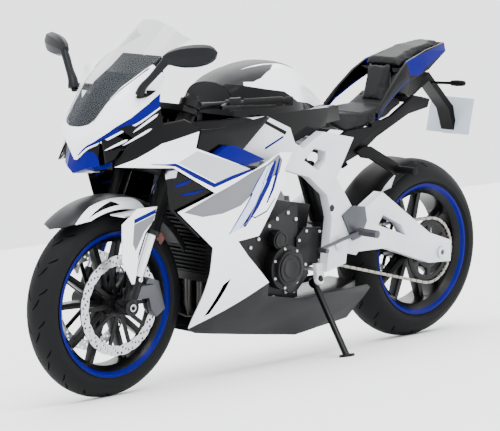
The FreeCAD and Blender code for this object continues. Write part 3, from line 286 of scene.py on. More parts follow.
def eased(piece, width, segments=2, from_deg=34.0):
    """Rounds the edges that are sharper than an angle."""
    modifier(piece, "BEVEL", width=width, segments=segments, limit_method="ANGLE",
             angle_limit=math.radians(from_deg), use_clamp_overlap=True)
    return piece


def both_hands(piece, name):
    """The left piece and its mirror image, as one."""
    return joined([piece, copied(piece, name + "_right", MIRROR)], name)


def cad_copy(node, flat_merged=True):
    """A copy of a CAD node, upright in millimetres; its flat facets merge unless they are to be sorted."""
    piece = CAD[node].copy()
    piece.data = CAD[node].data.copy()
    del piece["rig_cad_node"]
    piece.name = node + "_finished"
    bpy.context.scene.collection.objects.link(piece)
    piece.parent = None
    piece.data.transform(UPRIGHT)
    whole(piece, MERGE)
    if flat_merged:
        whole(piece, FLATTEN)
    return piece


def finished(piece, nodes, body=None, smooth_deg=32.0):
    """Smooths a piece, leans it over with the bike and has it stand for CAD nodes."""
    piece.data.transform(STANDING)
    only(piece)
    bpy.ops.object.shade_smooth_by_angle(angle=math.radians(smooth_deg))
    if nodes:
        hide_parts(*nodes)
    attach(piece, body or BODY_OF[nodes[0]])
    return piece


def cut_along(piece, line, axes):
    """Cuts the faces that a line of points crosses, seen along the third axis; the others stay whole."""
    a, b = axes
    mesh = edit(piece)
    for start, end in zip(line, line[1:]):
        span = math.hypot(end[0] - start[0], end[1] - start[1])
        if span < TOUCH:
            continue
        way = ((end[0] - start[0]) / span, (end[1] - start[1]) / span)
        bpy.ops.mesh.select_all(action="DESELECT")
        found = False
        for face in mesh.faces:
            along, off = [], []
            for vertex in face.verts:
                x, y = vertex.co[a] - start[0], vertex.co[b] - start[1]
                along.append(x * way[0] + y * way[1])
                off.append(y * way[0] - x * way[1])
            if min(off) < -TOUCH and max(off) > TOUCH and max(along) > 0.0 and min(along) < span:
                face.select_set(True)
                found = True
        if not found:
            continue
        point, normal = [0.0, 0.0, 0.0], [0.0, 0.0, 0.0]
        point[a], point[b] = start
        normal[a], normal[b] = -way[1], way[0]
        bpy.ops.mesh.bisect(plane_co=point, plane_no=normal)
        mesh = bmesh.from_edit_mesh(piece.data)
    done()


def round_about(middle, radius, count, first=0.0):
    """Points on a circle; the first stands at a share of their spacing."""
    turns = [2.0 * math.pi * (k + first) / count for k in range(count)]
    return [(middle[0] + radius * math.cos(turn), middle[1] + radius * math.sin(turn)) for turn in turns]


def inside(spot, border):
    """Whether a flat point lies inside a border."""
    x, y = spot
    within = False
    for (x0, y0), (x1, y1) in zip(border, border[1:] + border[:1]):
        if (y0 > y) != (y1 > y) and x < x0 + (y - y0) * (x1 - x0) / (y1 - y0):
            within = not within
    return within


def painted(piece, base, marks=(), axes=FLAT):
    """Cuts a piece along the borders of its marks and gives each its finish; later marks lie on top."""
    finishes = [base]
    for finish, border in marks:
        cut_along(piece, border + border[:1], axes)
        if finish not in finishes:
            finishes.append(finish)
    piece.data.materials.clear()
    for finish in finishes:
        piece.data.materials.append(finish)
    a, b = axes
    for face in piece.data.polygons:
        face.material_index = 0
        spot = (face.center[a], face.center[b])
        for finish, border in marks:
            if inside(spot, border):
                face.material_index = finishes.index(finish)
    return piece


def coated(piece, finish, belongs):
    """Gives a finish to the faces whose middle passes a test."""
    if finish.name not in piece.data.materials:
        piece.data.materials.append(finish)
    index = list(piece.data.materials).index(finish)
    for face in piece.data.polygons:
        if belongs(face.center):
            face.material_index = index
    return piece


def stripe(line, widths):
    """The border of a band along a line, from its width at each point."""
    left, right = [], []
    for i, ((x, y), width) in enumerate(zip(line, widths)):
        x0, y0 = line[max(i - 1, 0)]
        x1, y1 = line[min(i + 1, len(line) - 1)]
        length = math.hypot(x1 - x0, y1 - y0)
        across = (-(y1 - y0) / length * width / 2, (x1 - x0) / length * width / 2)
        left.append((x + across[0], y + across[1]))
        right.append((x - across[0], y - across[1]))
    return left + right[::-1]


def cleared(piece, unwanted):
    """Deletes the faces whose middle passes a test."""
    mesh = edit(piece)
    for face in mesh.faces:
        face.select_set(unwanted(face.calc_center_median()))
    bpy.ops.mesh.delete(type="FACE")
    done()
    return piece


def flat_sheet(name, border, step):
    """A flat grid trimmed to a border. Later it is painted, carved and wrapped on to a surface."""
    us, vs = [p[0] for p in border], [p[1] for p in border]
    wide, high = max(us) - min(us) + 2.0, max(vs) - min(vs) + 2.0
    middle = ((max(us) + min(us)) / 2, (max(vs) + min(vs)) / 2, 0.0)
    columns, rows = [max(2, round(length / step)) for length in (wide, high)]
    bpy.ops.object.select_all(action="DESELECT")
    bpy.ops.mesh.primitive_grid_add(x_subdivisions=columns, y_subdivisions=rows, size=1.0)
    piece = bpy.context.object
    piece.name = name
    whole(piece, (bpy.ops.transform.resize, {"value": (wide, high, 1.0)}),
          (bpy.ops.transform.translate, {"value": middle}))
    cut_along(piece, border + border[:1], FLAT)
    return cleared(piece, lambda p: not inside((p.x, p.y), border))


def carved(piece, border, depth, ease, axes=FLAT):
    """Sinks or raises the region inside a border, with a sloping wall."""
    a, b = axes
    mesh = edit(piece)
    for face in mesh.faces:
        middle = face.calc_center_median()
        if inside((middle[a], middle[b]), border):
            face.select_set(True)
    bpy.ops.mesh.inset(thickness=ease, depth=depth)
    done()
    return piece


def wrapped(piece, place, outward, thickness):
    """Carries a flat sheet on to its surface, its relief along the surface's normal, and gives it a wall."""
    reach = 0.5
    middle = sum((vertex.co for vertex in piece.data.vertices), Vector()) / len(piece.data.vertices)

    def normal_at(u, v):
        here = place(u, v)
        return here, (place(u + reach, v) - here).cross(place(u, v + reach) - here).normalized()

    facing = 1.0 if normal_at(middle.x, middle.y)[1].dot(Vector(outward)) > 0.0 else -1.0
    for vertex in piece.data.vertices:
        here, normal = normal_at(vertex.co.x, vertex.co.y)
        vertex.co = here + normal * (vertex.co.z * facing)
    if facing < 0.0:
        whole(piece, TURN_ROUND)
    if thickness:
        modifier(piece, "SOLIDIFY", thickness=thickness, offset=-1.0)
    return piece


def smooth(places, values, at):
    """The value between measured stations, on a curve that passes through each of them without a corner."""
    last = len(places) - 1
    rising = places[0] < places[-1]
    i = 0
    while i < last - 1 and (at > places[i + 1]) == rising:
        i += 1
    span = places[i + 1] - places[i]
    t = min(1.0, max(0.0, (at - places[i]) / span))

    def slope(k):
        low, high = max(k - 1, 0), min(k + 1, last)
        return (values[high] - values[low]) * (span / (places[high] - places[low]))

    hold = 2.0 * t ** 3 - 3.0 * t ** 2
    return (values[i] * (hold + 1.0) - values[i + 1] * hold + slope(i) * (t ** 3 - 2.0 * t ** 2 + t)
            + slope(i + 1) * (t ** 3 - t ** 2))


def swept(name, path, halves, around=16, steps=24, cap=0.06, square=1.0):
    """A bar along a smooth path, from its half sizes across and up at each point, with rounded ends."""
    bpy.ops.object.select_all(action="DESELECT")
    bpy.ops.mesh.primitive_grid_add(x_subdivisions=around, y_subdivisions=steps, size=2.0)
    piece = bpy.context.object
    piece.name = name
    stations = [float(i) for i in range(len(path))]

    def middle(at):
        return Vector([smooth(stations, [float(point[k]) for point in path], at) for k in range(3)])

    for vertex in piece.data.vertices:
        angle, share = vertex.co.x * math.pi, (vertex.co.y + 1.0) / 2.0
        at = share * stations[-1]
        way = (middle(at + 0.01) - middle(at - 0.01)).normalized()
        side = way.cross(Vector((0.0, 0.0, 1.0))).normalized()
        open_part = min(1.0, min(share, 1.0 - share) / cap)
        full = math.sqrt(max(0.0, 1.0 - (1.0 - open_part) ** 2))
        wide, high = [smooth(stations, [float(half[k]) for half in halves], at) * full for k in (0, 1)]
        over = math.copysign(abs(math.cos(angle)) ** square, math.cos(angle)) * wide
        up = math.copysign(abs(math.sin(angle)) ** square, math.sin(angle)) * high
        vertex.co = middle(at) + side * over + side.cross(way) * up
    whole(piece, MERGE, FACE_OUT)
    return piece


def boss(name, place, radius, height, steps, sides=32, ease=0.8):
    """A round boss on a left-hand face, its outer end stepped by pairs of inset and depth."""
    bpy.ops.object.select_all(action="DESELECT")
    middle = (place[0], place[1] + height / 2.0, place[2])
    bpy.ops.mesh.primitive_cylinder_add(vertices=sides, radius=radius, depth=height, location=middle,
                                        rotation=(math.pi / 2, 0, 0))
    piece = bpy.context.object
    piece.name = name
    bpy.ops.object.transform_apply(location=True, rotation=True, scale=True)
    mesh = edit(piece)
    for face in mesh.faces:
        face.select_set(face.normal.y > 0.9)
    for thickness, depth in steps:
        bpy.ops.mesh.inset(thickness=thickness, depth=depth)
    done()
    return eased(piece, ease, from_deg=40.0)


def dressed(node, finish, ease=0.0, smooth_deg=32.0):
    """A merged copy of a CAD node that stands for it, with its edges eased and its facets smoothed."""
    piece = cad_copy(node)
    if ease:
        eased(piece, ease)
    painted(piece, finish)
    return finished(piece, [node], smooth_deg=smooth_deg)


# Side fairings: one smooth panel a side, painted in bands, with painted shade on the facet above the V
# crease.

SIDE_HEIGHTS = [900.0, 800.0, 740.0, 640.0, 470.0, 320.0, 200.0, 90.0]
SIDE_STATIONS = [1500.0, 1350.0, 1200.0, 1050.0, 900.0, 600.0, 250.0]
SIDE_WIDTHS = [[92.0, 118.0, 128.0, 112.0, 80.0, 56.0, 46.0, 40.0],
               [165.0, 190.0, 197.0, 186.0, 150.0, 110.0, 66.0, 50.0],
               [188.0, 210.0, 218.0, 212.0, 184.0, 142.0, 84.0, 56.0],
               [200.0, 218.0, 228.0, 226.0, 205.0, 172.0, 118.0, 66.0],
               [205.0, 220.0, 228.0, 224.0, 206.0, 178.0, 130.0, 72.0],
               [200.0, 212.0, 218.0, 214.0, 198.0, 172.0, 132.0, 75.0],
               [180.0, 192.0, 198.0, 194.0, 178.0, 150.0, 110.0, 60.0]]
SIDE_BORDER = [(1489, 748), (1440, 812), (1391, 853), (1333, 871), (1245, 879), (1190, 852), (1218, 790),
               (981, 700), (856, 748), (807, 742), (838, 690), (835, 656), (883, 571), (939, 483),
               (1031, 475), (979, 421), (862, 318), (1143, 191), (1125, 377), (1129, 463), (1280, 592),
               (1141, 641), (1310, 736)]


def fairing_side(inset=0.0):
    """A place on the bike's left flank, or a little inside it, from X and Z."""
    def place(x, z):
        widths = [smooth(SIDE_HEIGHTS, row, z) for row in SIDE_WIDTHS]
        return Vector((x, smooth(SIDE_STATIONS, widths, x) - inset, z))
    return place


WING_STRIP = [(1489, 748), (1440, 812), (1391, 853), (1333, 871), (1245, 879), (1190, 852), (1180, 843),
              (1251, 830), (1342, 813), (1427, 770)]
# The wing's facet above the V crease: light grey painted shade on the white, standing in for the turn of a
# bulge that the panel doesn't shape.
WING_FACET_SHADE = [(1214, 781), (978, 701), (1142, 675), (1293, 751)]
V_LINE = [(1383, 752), (1340, 748), (1302, 745), (1227, 706), (1148, 667), (1078, 686), (987, 705)]
WEDGE = [(1141, 640), (1069, 666), (999, 693), (924, 714), (868, 742), (852, 722), (865, 680), (913, 666),
         (965, 637), (1033, 592), (1107, 573), (1184, 569), (1257, 590)]
STRIPE_OUTER = [(1072, 502), (1038, 551), (1002, 600), (966, 656), (946, 680), (926, 704)]
STRIPE_MAIN = [(1013, 522), (963, 580), (918, 648), (893, 698), (881, 722)]
STRIPE_REAR = [(915, 588), (891, 632), (875, 682), (861, 727)]
STRIPE_FINE = [(1030, 517), (996, 535), (952, 616), (921, 686), (900, 716)]
UNDERLINE = [(980, 551), (965, 545), (913, 561), (878, 600)]
SLIT = [(1039, 353), (1066, 335), (1101, 230), (1085, 237)]
SIDE_MARKS = [
    (BLACK, WING_STRIP),
    # Painted shade: the wing's facet in light grey.
    (LIGHT_GREY, WING_FACET_SHADE),
    (GREY, WEDGE),
    (PALE_BLUE, STRIPE_OUTER + STRIPE_MAIN[::-1]),
    (BLUE, stripe(STRIPE_OUTER, [3, 5, 5, 5, 4, 2])),
    (BLUE, stripe(STRIPE_MAIN, [15, 19, 20, 18, 8])),
    (BLUE, stripe(STRIPE_REAR, [6, 12, 13, 6])),
    (GREY, stripe(STRIPE_FINE, [2, 3, 3, 3, 2])),
    (BLUE, stripe(UNDERLINE, [3, 5, 5, 3])),
    (BLUE, stripe(V_LINE, [2, 4, 10, 14, 14, 13, 8])),
    (BLACK, SLIT),
]


def side_fairing():
    panel = flat_sheet("side_fairing_left_finished", SIDE_BORDER, 26.0)
    painted(panel, WHITE, SIDE_MARKS)
    carved(panel, WEDGE, -3.0, 2.5)
    carved(panel, WING_STRIP, -2.0, 2.0)
    carved(panel, SLIT, -9.0, 2.0)
    wrapped(panel, fairing_side(), (0, 1, 0), 4.0)
    right = copied(panel, "side_fairing_right_finished", MIRROR)
    finished(panel, ["side_fairing_left"])
    finished(right, ["side_fairing_right"])


INNER_BORDER = [(1330, 720), (1300, 600), (1180, 500), (1040, 560), (1010, 640), (1000, 690), (1224, 780),
                (1300, 790)]
CRYSTAL = [(1282, 731), (1289, 702), (1330, 699), (1326, 716), (1318, 728)]
STREAKS = [[(1292, 679), (1219, 698), (1245, 677), (1283, 671)],
           [(1268, 647), (1159, 660), (1204, 644), (1255, 641)]]
INNER_GAP = 14.0


def intake():
    """The black panel inside the intake with its crystal lamp and two painted streaks."""
    panel = flat_sheet("inner_fairings_finished", INNER_BORDER, 30.0)
    painted(panel, BLACK, [(ALUMINIUM, CRYSTAL)] + [(BLUE, streak) for streak in STREAKS])
    carved(panel, CRYSTAL, 5.0, 3.0)
    for streak in STREAKS:
        carved(panel, streak, 2.0, 1.5)
    wrapped(panel, fairing_side(INNER_GAP), (0, 1, 0), 3.0)
    finished(both_hands(panel, "inner_fairings_finished"), ["inner_fairings"])


# Nose: the cowl and the screen are one smooth shape each, from the same stations as the CAD shells.

COWL_STATIONS = [0.0, 40.0, 68.0, 78.0, 92.0, 107.0, 120.0, 152.0, 186.0]
COWL_HALF = [[(1531, 762), (1552, 812), (1549, 842), (1538, 867)],
             [(1517, 796), (1541, 832), (1538, 852), (1528, 871)],
             [(1501, 811), (1523, 846), (1520, 870), (1507, 892)],
             [(1490, 816), (1511, 862), (1492, 912), (1453, 953)],
             [(1474, 828), (1494, 872), (1464, 934), (1415, 990)],
             [(1455, 840), (1472, 888), (1428, 960), (1366, 1021)],
             [(1437, 852), (1453, 896), (1404, 974), (1322, 1050)],
             [(1396, 878), (1408, 916), (1376, 982), (1328, 1042)],
             [(1345, 922), (1346, 950), (1340, 990), (1332, 1030)]]
SCREEN_STATIONS = [0.0, 40.0, 66.0, 77.0, 91.0, 106.0, 118.0]
SCREEN_HALF = [[(1538, 867), (1466, 958), (1380, 1045), (1216, 1179)],
               [(1528, 871), (1460, 954), (1375, 1044), (1212, 1174)],
               [(1508, 890), (1447, 956), (1358, 1044), (1203, 1163)],
               [(1453, 953), (1406, 1000), (1340, 1050), (1195, 1157)],
               [(1415, 990), (1378, 1018), (1328, 1050), (1190, 1148)],
               [(1366, 1021), (1342, 1036), (1305, 1056), (1178, 1134)],
               [(1322, 1051), (1304, 1062), (1270, 1076), (1150, 1118)]]
SECTION_STEPS = [0.0, 100.0, 200.0, 300.0]
SCREEN_LIFT = 1.5
TRAY_DROP = Vector((-18.0, 0.0, -18.0))
COWL_WIDTH = 186
SCREEN_WIDTH = 118


def mirrored(half):
    """Distances from one edge to the other, from those counted from the middle out."""
    return [-value for value in half[:0:-1]] + half


def across_bike(half_stations, half, lift=0.0):
    """A place on a shell given by sections from the bike's middle out, each with its lowest point first."""
    stations = mirrored(half_stations)
    rows = half[:0:-1] + half

    def place(y, v):
        spot = []
        for i in (0, 1):
            at_steps = [smooth(stations, [float(row[k][i]) for row in rows], y) for k in range(4)]
            spot.append(smooth(SECTION_STEPS, at_steps, v))
        return Vector((spot[0] - lift, y, spot[1] + lift))
    return place


COWL_BAND = [(14, 14), (60, 14), (110, 14), (150, 16), (186, 18), (186, 150), (168, 112), (140, 74),
             (100, 48), (60, 34), (14, 22)]
SCREEN_LINE = [(66, 262), (78, 266), (92, 272), (107, 276), (122, 280), (122, 292), (107, 290), (92, 287),
               (78, 284), (66, 282)]
BEAK_BLUE = [(1560, 700), (1560, 790), (1508, 790), (1498, 748), (1440, 756), (1440, 744), (1500, 728),
             (1520, 700)]
TRAY_BORDER = [(-58, 6), (58, 6), (67, 90), (62, 150), (70, 196), (-70, 196), (-62, 150), (-67, 90)]


def mirrored_mark(border):
    return [(-u, v) for u, v in border[::-1]]


def shell_border(half_width):
    """The border of a shell drawn flat: across the bike, and along its sections."""
    return [(-half_width, 0), (half_width, 0), (half_width, 300), (-half_width, 300)]


def nose():
    """The cowl with its blue bands, the screen, the beak, and the dark tray under the screen."""
    bands = [(BLUE, mark) for border in (COWL_BAND, SCREEN_LINE) for mark in (border, mirrored_mark(border))]
    cowl = painted(flat_sheet("upper_cowl_finished", shell_border(COWL_WIDTH), 12.0), WHITE, bands)
    wrapped(cowl, across_bike(COWL_STATIONS, COWL_HALF), (1, 0, 0.5), 4.0)
    finished(cowl, ["upper_cowl"], smooth_deg=40.0)
    on_screen = across_bike(SCREEN_STATIONS, SCREEN_HALF, SCREEN_LIFT)
    screen = painted(flat_sheet("windscreen_finished", shell_border(SCREEN_WIDTH), 12.0), SCREEN)
    wrapped(screen, on_screen, (1, 0, 1), 3.0)
    finished(screen, ["windscreen"], smooth_deg=40.0)
    beak = painted(cad_copy("nose_beak"), BLACK, [(BLUE, BEAK_BLUE)], SIDE_VIEW)
    finished(beak, ["nose_beak"], smooth_deg=20.0)
    tray = painted(flat_sheet("dash_tray", TRAY_BORDER, 14.0), LINER)
    wrapped(tray, lambda y, v: on_screen(y, v) + TRAY_DROP, (1, 0, 1), 2.0)
    finished(tray, [], "chassis")


LAMP_BARS = [((1497, 96, 796), (1440, 142, 830)),
             ((1454, 132, 811), (1371, 177, 862)),
             ((1428, 151, 851), (1353, 186, 906))]
LAMP_BAR_HALVES = [(4.0, 2.0), (4.0, 5.0)]
HOUSING_NECK_Z = 880.0
HOUSING_TUCK = 0.86


def lamps():
    """Black housings, tucked in at the top, with three slim glass bars a side under the cowl's edge."""
    bars = [swept("lamp_bar", bar, LAMP_BAR_HALVES, steps=10, cap=0.3, square=0.7) for bar in LAMP_BARS]
    glass = painted(both_hands(joined(bars, "lamp_bars"), "lamp_bars"), LED_WHITE)
    housing = painted(cad_copy("headlamps"), BLACK)
    for vertex in housing.data.vertices:
        if vertex.co.z > HOUSING_NECK_Z:
            vertex.co.y *= HOUSING_TUCK
    finished(joined([housing, glass], "headlamps_finished"), ["headlamps"], smooth_deg=20.0)


FOOT_PATH = [(1412, 146, 958), (1372, 168, 966)]
ARM_PATH = [(1404, 152, 960), (1397, 164, 990), (1386, 192, 1020), (1372, 226, 1060), (1366, 250, 1086)]
ARM_HALVES = [(19, 15), (16, 12), (13, 11), (13, 13), (12, 16)]
HEAD_PATH = [(1374, 222, 1068), (1362, 248, 1081), (1346, 290, 1087), (1326, 340, 1093), (1308, 374, 1100),
             (1297, 392, 1105)]
HEAD_HALVES = [(8, 10), (18, 22), (24, 33), (26, 34), (22, 26), (8, 9)]


def mirrors():
    """Swept arms that rise from dark feet on the cowl, with faceted heads."""
    foot = swept("mirror_foot", FOOT_PATH, [(11, 7), (11, 7)], steps=8, cap=0.3)
    arm = swept("mirror_arm", ARM_PATH, ARM_HALVES, steps=20)
    head = swept("mirror_head", HEAD_PATH, HEAD_HALVES, around=8, steps=10, cap=0.1, square=0.8)
    for piece, finish in ((foot, BLACK), (arm, GUNMETAL), (head, GUNMETAL)):
        painted(piece, finish)
    mirror = joined([foot, arm, head], "mirrors_finished")
    finished(both_hands(mirror, "mirrors_finished"), ["mirrors"], smooth_deg=24.0)


# Tank: a smooth crowned shell, painted from above and from the side.

TANK_STATIONS = [962.0, 900.0, 830.0, 750.0, 680.0, 610.0, 550.0, 484.0]
TANK_HALF = [[(0, 966), (40, 963), (84, 948), (110, 915), (118, 862)],
             [(0, 994), (50, 989), (100, 970), (130, 925), (138, 862)],
             [(0, 1014), (56, 1008), (112, 982), (148, 928), (152, 862)],
             [(0, 1023), (58, 1016), (114, 984), (150, 926), (154, 862)],
             [(0, 1016), (52, 1009), (102, 975), (134, 920), (142, 862)],
             [(0, 994), (40, 987), (78, 950), (102, 902), (112, 862)],
             [(0, 958), (30, 951), (56, 918), (74, 884), (84, 862)],
             [(0, 882), (22, 880), (38, 874), (50, 868), (58, 862)]]
TANK_STEPS = [0.0, 50.0, 100.0, 150.0, 200.0]


def on_tank(x, v):
    """A place on the tank, from X and the distance across its sections."""
    steps = mirrored(TANK_STEPS)
    sections = []
    for half in TANK_HALF:
        full = [(-y, z) for y, z in half[:0:-1]] + half
        sections.append([smooth(steps, [float(p[i]) for p in full], v) for i in (0, 1)])
    y, z = [smooth(TANK_STATIONS, [section[i] for section in sections], x) for i in (0, 1)]
    return Vector((x, y, z))


TOP_STRIP = [(965, -130), (965, 130), (915, 118), (872, 48), (860, 48), (735, 62), (640, 52), (600, 34),
             (484, 16), (484, -16), (600, -34), (640, -52), (735, -62), (860, -48), (872, -48), (915, -118)]
TANK_PATCH = [(865, 48), (808, 62), (735, 67), (774, 95), (838, 116), (873, 115), (925, 92), (925, 48)]
TANK_PATCH_RIGHT = [(x, -y) for x, y in TANK_PATCH[::-1]]
TANK_BORDER = [(484, -200), (962, -200), (962, 200), (484, 200)]
KNEE_AREA = [(990, 966), (916, 958), (840, 943), (766, 931), (699, 893), (609, 878), (560, 862), (560, 850),
             (990, 850)]
KNEE_Y = 66.0
TANK_FRONT_X = 961.0


def tank():
    """The painted tank cover with its front closed by the CAD's own, and the plastic sides below it."""
    cover = wrapped(flat_sheet("tank_cover_finished", TANK_BORDER, 14.0), on_tank, (0, 0, 1), 5.0)
    painted(cover, WHITE, [(DARK_GREY, mark) for mark in (TANK_PATCH, TANK_PATCH_RIGHT, TOP_STRIP)])
    cut_along(cover, KNEE_AREA + KNEE_AREA[:1], SIDE_VIEW)
    coated(cover, BLACK, lambda p: abs(p.y) > KNEE_Y and inside((p.x, p.z), KNEE_AREA))
    front = cleared(cad_copy("tank_cover"), lambda p: p.x < TANK_FRONT_X)
    modifier(front, "SOLIDIFY", thickness=3.0, offset=-1.0)
    painted(front, DARK_GREY)
    finished(joined([cover, front], "tank_cover_finished"), ["tank_cover"], smooth_deg=40.0)
    finished(painted(eased(cad_copy("tank_sides"), 3.0), BLACK), ["tank_sides"])


# Wheels: tyres with sunk sipes, drilled discs and the coloured rim tape.

def about_axle(centre, station_r, side=0.0):
    """A place on a ring: the sheet's first measure runs round the axle, its second is the radius."""
    def place(u, v):
        angle = u / station_r
        return Vector((centre.x + v * math.cos(angle), side, centre.z + v * math.sin(angle)))
    return place


def ring_of(segment, count, centre):
    """Repeats a segment round its axle and merges the copies."""
    there, back = Matrix.Translation(centre), Matrix.Translation(-centre)
    parts = [segment]
    for i in range(1, count):
        turn = there @ Matrix.Rotation(2 * math.pi * i / count, 4, "Y") @ back
        parts.append(copied(segment, segment.name + str(i), turn))
    ring = joined(parts, segment.name)
    whole(ring, MERGE)
    return ring


# A tyre's outside: shares of its half width that have a station, then the sidewall down to the bead.
TREAD_SHARES = (0.0, 0.2, 0.4, 0.6, 0.78, 0.92)
SIDEWALL_R = 232.0
BEAD_TOP_R = 236.0
BEAD_R = 219.0
BEAD_STEP = 5.0
TYRE_WALL = 7.0
# Each sipe: from one share of the half tread to another, its start and its lean as shares of the pattern.
SIPES = ((0.10, 0.52, 0.10, 0.42), (0.48, 0.92, 0.56, 0.30))
SIPE_WIDTHS = [2.5, 6.0, 4.0]
SIPE_DEPTH = 3.5
PATTERNS = 18


def tread_section(radius, width, crown, rim_width):
    """A tyre's outside from bead to bead: distances along it, radii and places across."""
    half = width / 2.0
    points = [(radius - crown + math.sqrt(crown ** 2 - (half * share) ** 2), half * share)
              for share in TREAD_SHARES]
    shoulder = points[-1][0]
    points += [(shoulder - (shoulder - SIDEWALL_R) * 0.35, half * 0.99),
               (shoulder - (shoulder - SIDEWALL_R) * 0.7, half * 0.98),
               (BEAD_TOP_R, rim_width / 2.0 + BEAD_STEP), (BEAD_R, rim_width / 2.0)]
    run = [0.0]
    for (r0, y0), (r1, y1) in zip(points, points[1:]):
        run.append(run[-1] + math.hypot(r1 - r0, y1 - y0))
    radii, places = [r for r, y in points], [y for r, y in points]
    return mirrored(run), radii[:0:-1] + radii, mirrored(places)


def sipe_borders(pitch, reach):
    """The borders of the sipes in one pattern of the tread; the right half is shifted against the left."""
    borders = []
    for side, shift in ((1.0, 0.0), (-1.0, 0.5)):
        for low, high, begin, lean in SIPES:
            x = (begin + shift * 0.5) * pitch % (pitch * 0.6) + pitch * 0.05
            start = (x, side * reach * low)
            end = (x + lean * pitch * 0.8, side * reach * high)
            middle = ((start[0] + end[0]) / 2, (start[1] + end[1]) / 2 + side * 3.0)
            borders.append(stripe([start, middle, end], SIPE_WIDTHS))
    return borders


def tyre(node, centre, radius, width, crown, rim_width):
    """One pattern of tread with sunk sipes, repeated round the axle and given its wall."""
    stations, radii, places = tread_section(radius, width, crown, rim_width)
    pitch = 2 * math.pi * radius / PATTERNS

    def on_tread(u, v):
        angle, r = u / radius, smooth(stations, radii, v)
        across = smooth(stations, places, v)
        return Vector((centre.x + r * math.cos(angle), across, centre.z + r * math.sin(angle)))

    edge = stations[-1]
    segment = flat_sheet(node + "_finished", [(0, -edge), (pitch, -edge), (pitch, edge), (0, edge)], 15.0)
    sipes = sipe_borders(pitch, width * 0.44)
    painted(segment, RUBBER, [(GROOVE, sipe) for sipe in sipes])
    for sipe in sipes:
        carved(segment, sipe, -SIPE_DEPTH, 0.8)
    wrapped(segment, on_tread, (1, 0, 0), 0.0)
    body = ring_of(segment, PATTERNS, centre)
    modifier(body, "SOLIDIFY", thickness=TYRE_WALL, offset=-1.0)
    finished(body, [node], smooth_deg=38.0)


DISC_THICK = 5.0
DISC_SEGMENTS = 20
HOLE_R = 4.2
# Each disc: its outer and inner radius and its place across.
FRONT_DISC = (160.0, 128.0, 67.0)
REAR_DISC = (110.0, 78.0, -86.0)
# Each hole of a segment: its share of the way round and its radius.
FRONT_HOLES = [(0.2, 150.0), (0.45, 142.0), (0.7, 134.5), (0.85, 152.0)]
REAR_HOLES = [(0.25, 101.0), (0.5, 93.0), (0.75, 85.5)]


def drilled_disc(name, centre, outer, inner, y, holes):
    """The swept ring of a brake disc: scalloped rims and rows of drilled holes."""
    mid = (outer + inner) / 2.0
    pitch = 2 * math.pi * mid / DISC_SEGMENTS
    border = [(0, inner + 2), (pitch * 0.25, inner - 1), (pitch * 0.75, inner - 1), (pitch, inner + 2),
              (pitch, outer - 3), (pitch * 0.75, outer), (pitch * 0.25, outer), (0, outer - 3)]
    segment = flat_sheet(name, border, 11.0)
    for u, v in holes:
        hole = round_about((u * pitch, v), HOLE_R, 8)
        cut_along(segment, hole + hole[:1], FLAT)
        cleared(segment, lambda p: inside((p.x, p.y), hole))
    painted(segment, STEEL)
    wrapped(segment, about_axle(centre, mid, y + DISC_THICK / 2.0), (0, 1, 0), 0.0)
    body = ring_of(segment, DISC_SEGMENTS, centre)
    modifier(body, "SOLIDIFY", thickness=DISC_THICK, offset=-1.0)
    return body


def disc_carrier(node, centre, inner):
    """The black carrier: the CAD disc without its swept ring."""
    carrier = cad_copy(node, flat_merged=False)
    return painted(cleared(carrier, lambda p: (p - centre).xz.length > inner + 2.0), BLACK_METAL)


def discs():
    name = "front_discs_finished"
    front = both_hands(drilled_disc(name, FRONT_AXLE, *FRONT_DISC, FRONT_HOLES), name)
    finished(joined([front, disc_carrier("front_discs", FRONT_AXLE, FRONT_DISC[1])], name), ["front_discs"])
    name = "rear_disc_finished"
    rear = drilled_disc(name, REAR_AXLE, *REAR_DISC, REAR_HOLES)
    finished(joined([rear, disc_carrier("rear_disc", REAR_AXLE, REAR_DISC[1])], name), ["rear_disc"])


# The stripe round a rim: its inner and outer radius, and the flange that slopes down inside one radius.
TAPE_INNER_R = 214
TAPE_OUTER_R = 231
FLANGE_R = 222.0
FLANGE_SLOPE = 1.04
TAPE_SEGMENTS = 30
TAPE_LIFT = 0.6
TAPE_THICK = 0.5


def rim_tape(name, centre, edge, body):
    """The coloured stripe round the rim's flange and down its inner slope, on both sides."""
    pitch = 2 * math.pi * FLANGE_R / TAPE_SEGMENTS
    border = [(0, TAPE_INNER_R), (pitch, TAPE_INNER_R), (pitch, TAPE_OUTER_R), (0, TAPE_OUTER_R)]
    segment = painted(flat_sheet(name, border, 5.0), BLUE)

    def on_flange(u, v):
        spot = about_axle(centre, FLANGE_R, edge + TAPE_LIFT)(u, v)
        spot.y -= max(0.0, FLANGE_R - v) * FLANGE_SLOPE
        return spot

    wrapped(segment, on_flange, (0, 1, 0), 0.0)
    tape = ring_of(segment, TAPE_SEGMENTS, centre)
    modifier(tape, "SOLIDIFY", thickness=TAPE_THICK, offset=-1.0)
    finished(both_hands(tape, name), [], body)


def rims():
    for node in ("front_rim", "rear_rim"):
        dressed(node, WHEEL, ease=1.5, smooth_deg=34.0)
    rim_tape("front_rim_tape", FRONT_AXLE, 51.5, "front_wheel")
    rim_tape("rear_rim_tape", REAR_AXLE, 77.0, "rear_wheel")


# Front end: fork legs, bars with grips, the two mudguards and the fork's reflectors.

# The bare part of the fork's tubes along their axis, and the grips' reach to the side and forwards.
BARE_TUBE = (100.5, 237.0)
GRIP_Y = (235.0, 350.0)
GRIP_FRONT_X = 1200.0


def up_the_fork(point):
    return (point - FRONT_AXLE).dot(UP_FORK)


def front_end():
    """Black fork legs with bare sliding tubes, and bars with rubber grips."""
    legs = painted(cad_copy("fork_legs"), BLACK_METAL)
    coated(legs, CHROME, lambda p: BARE_TUBE[0] < up_the_fork(p) < BARE_TUBE[1])
    finished(legs, ["fork_legs"], smooth_deg=50.0)
    bars = painted(cad_copy("handlebars"), BLACK_METAL)
    coated(bars, GRIP, lambda p: GRIP_Y[0] < abs(p.y) < GRIP_Y[1] and p.x < GRIP_FRONT_X)
    finished(bars, ["handlebars"], smooth_deg=50.0)


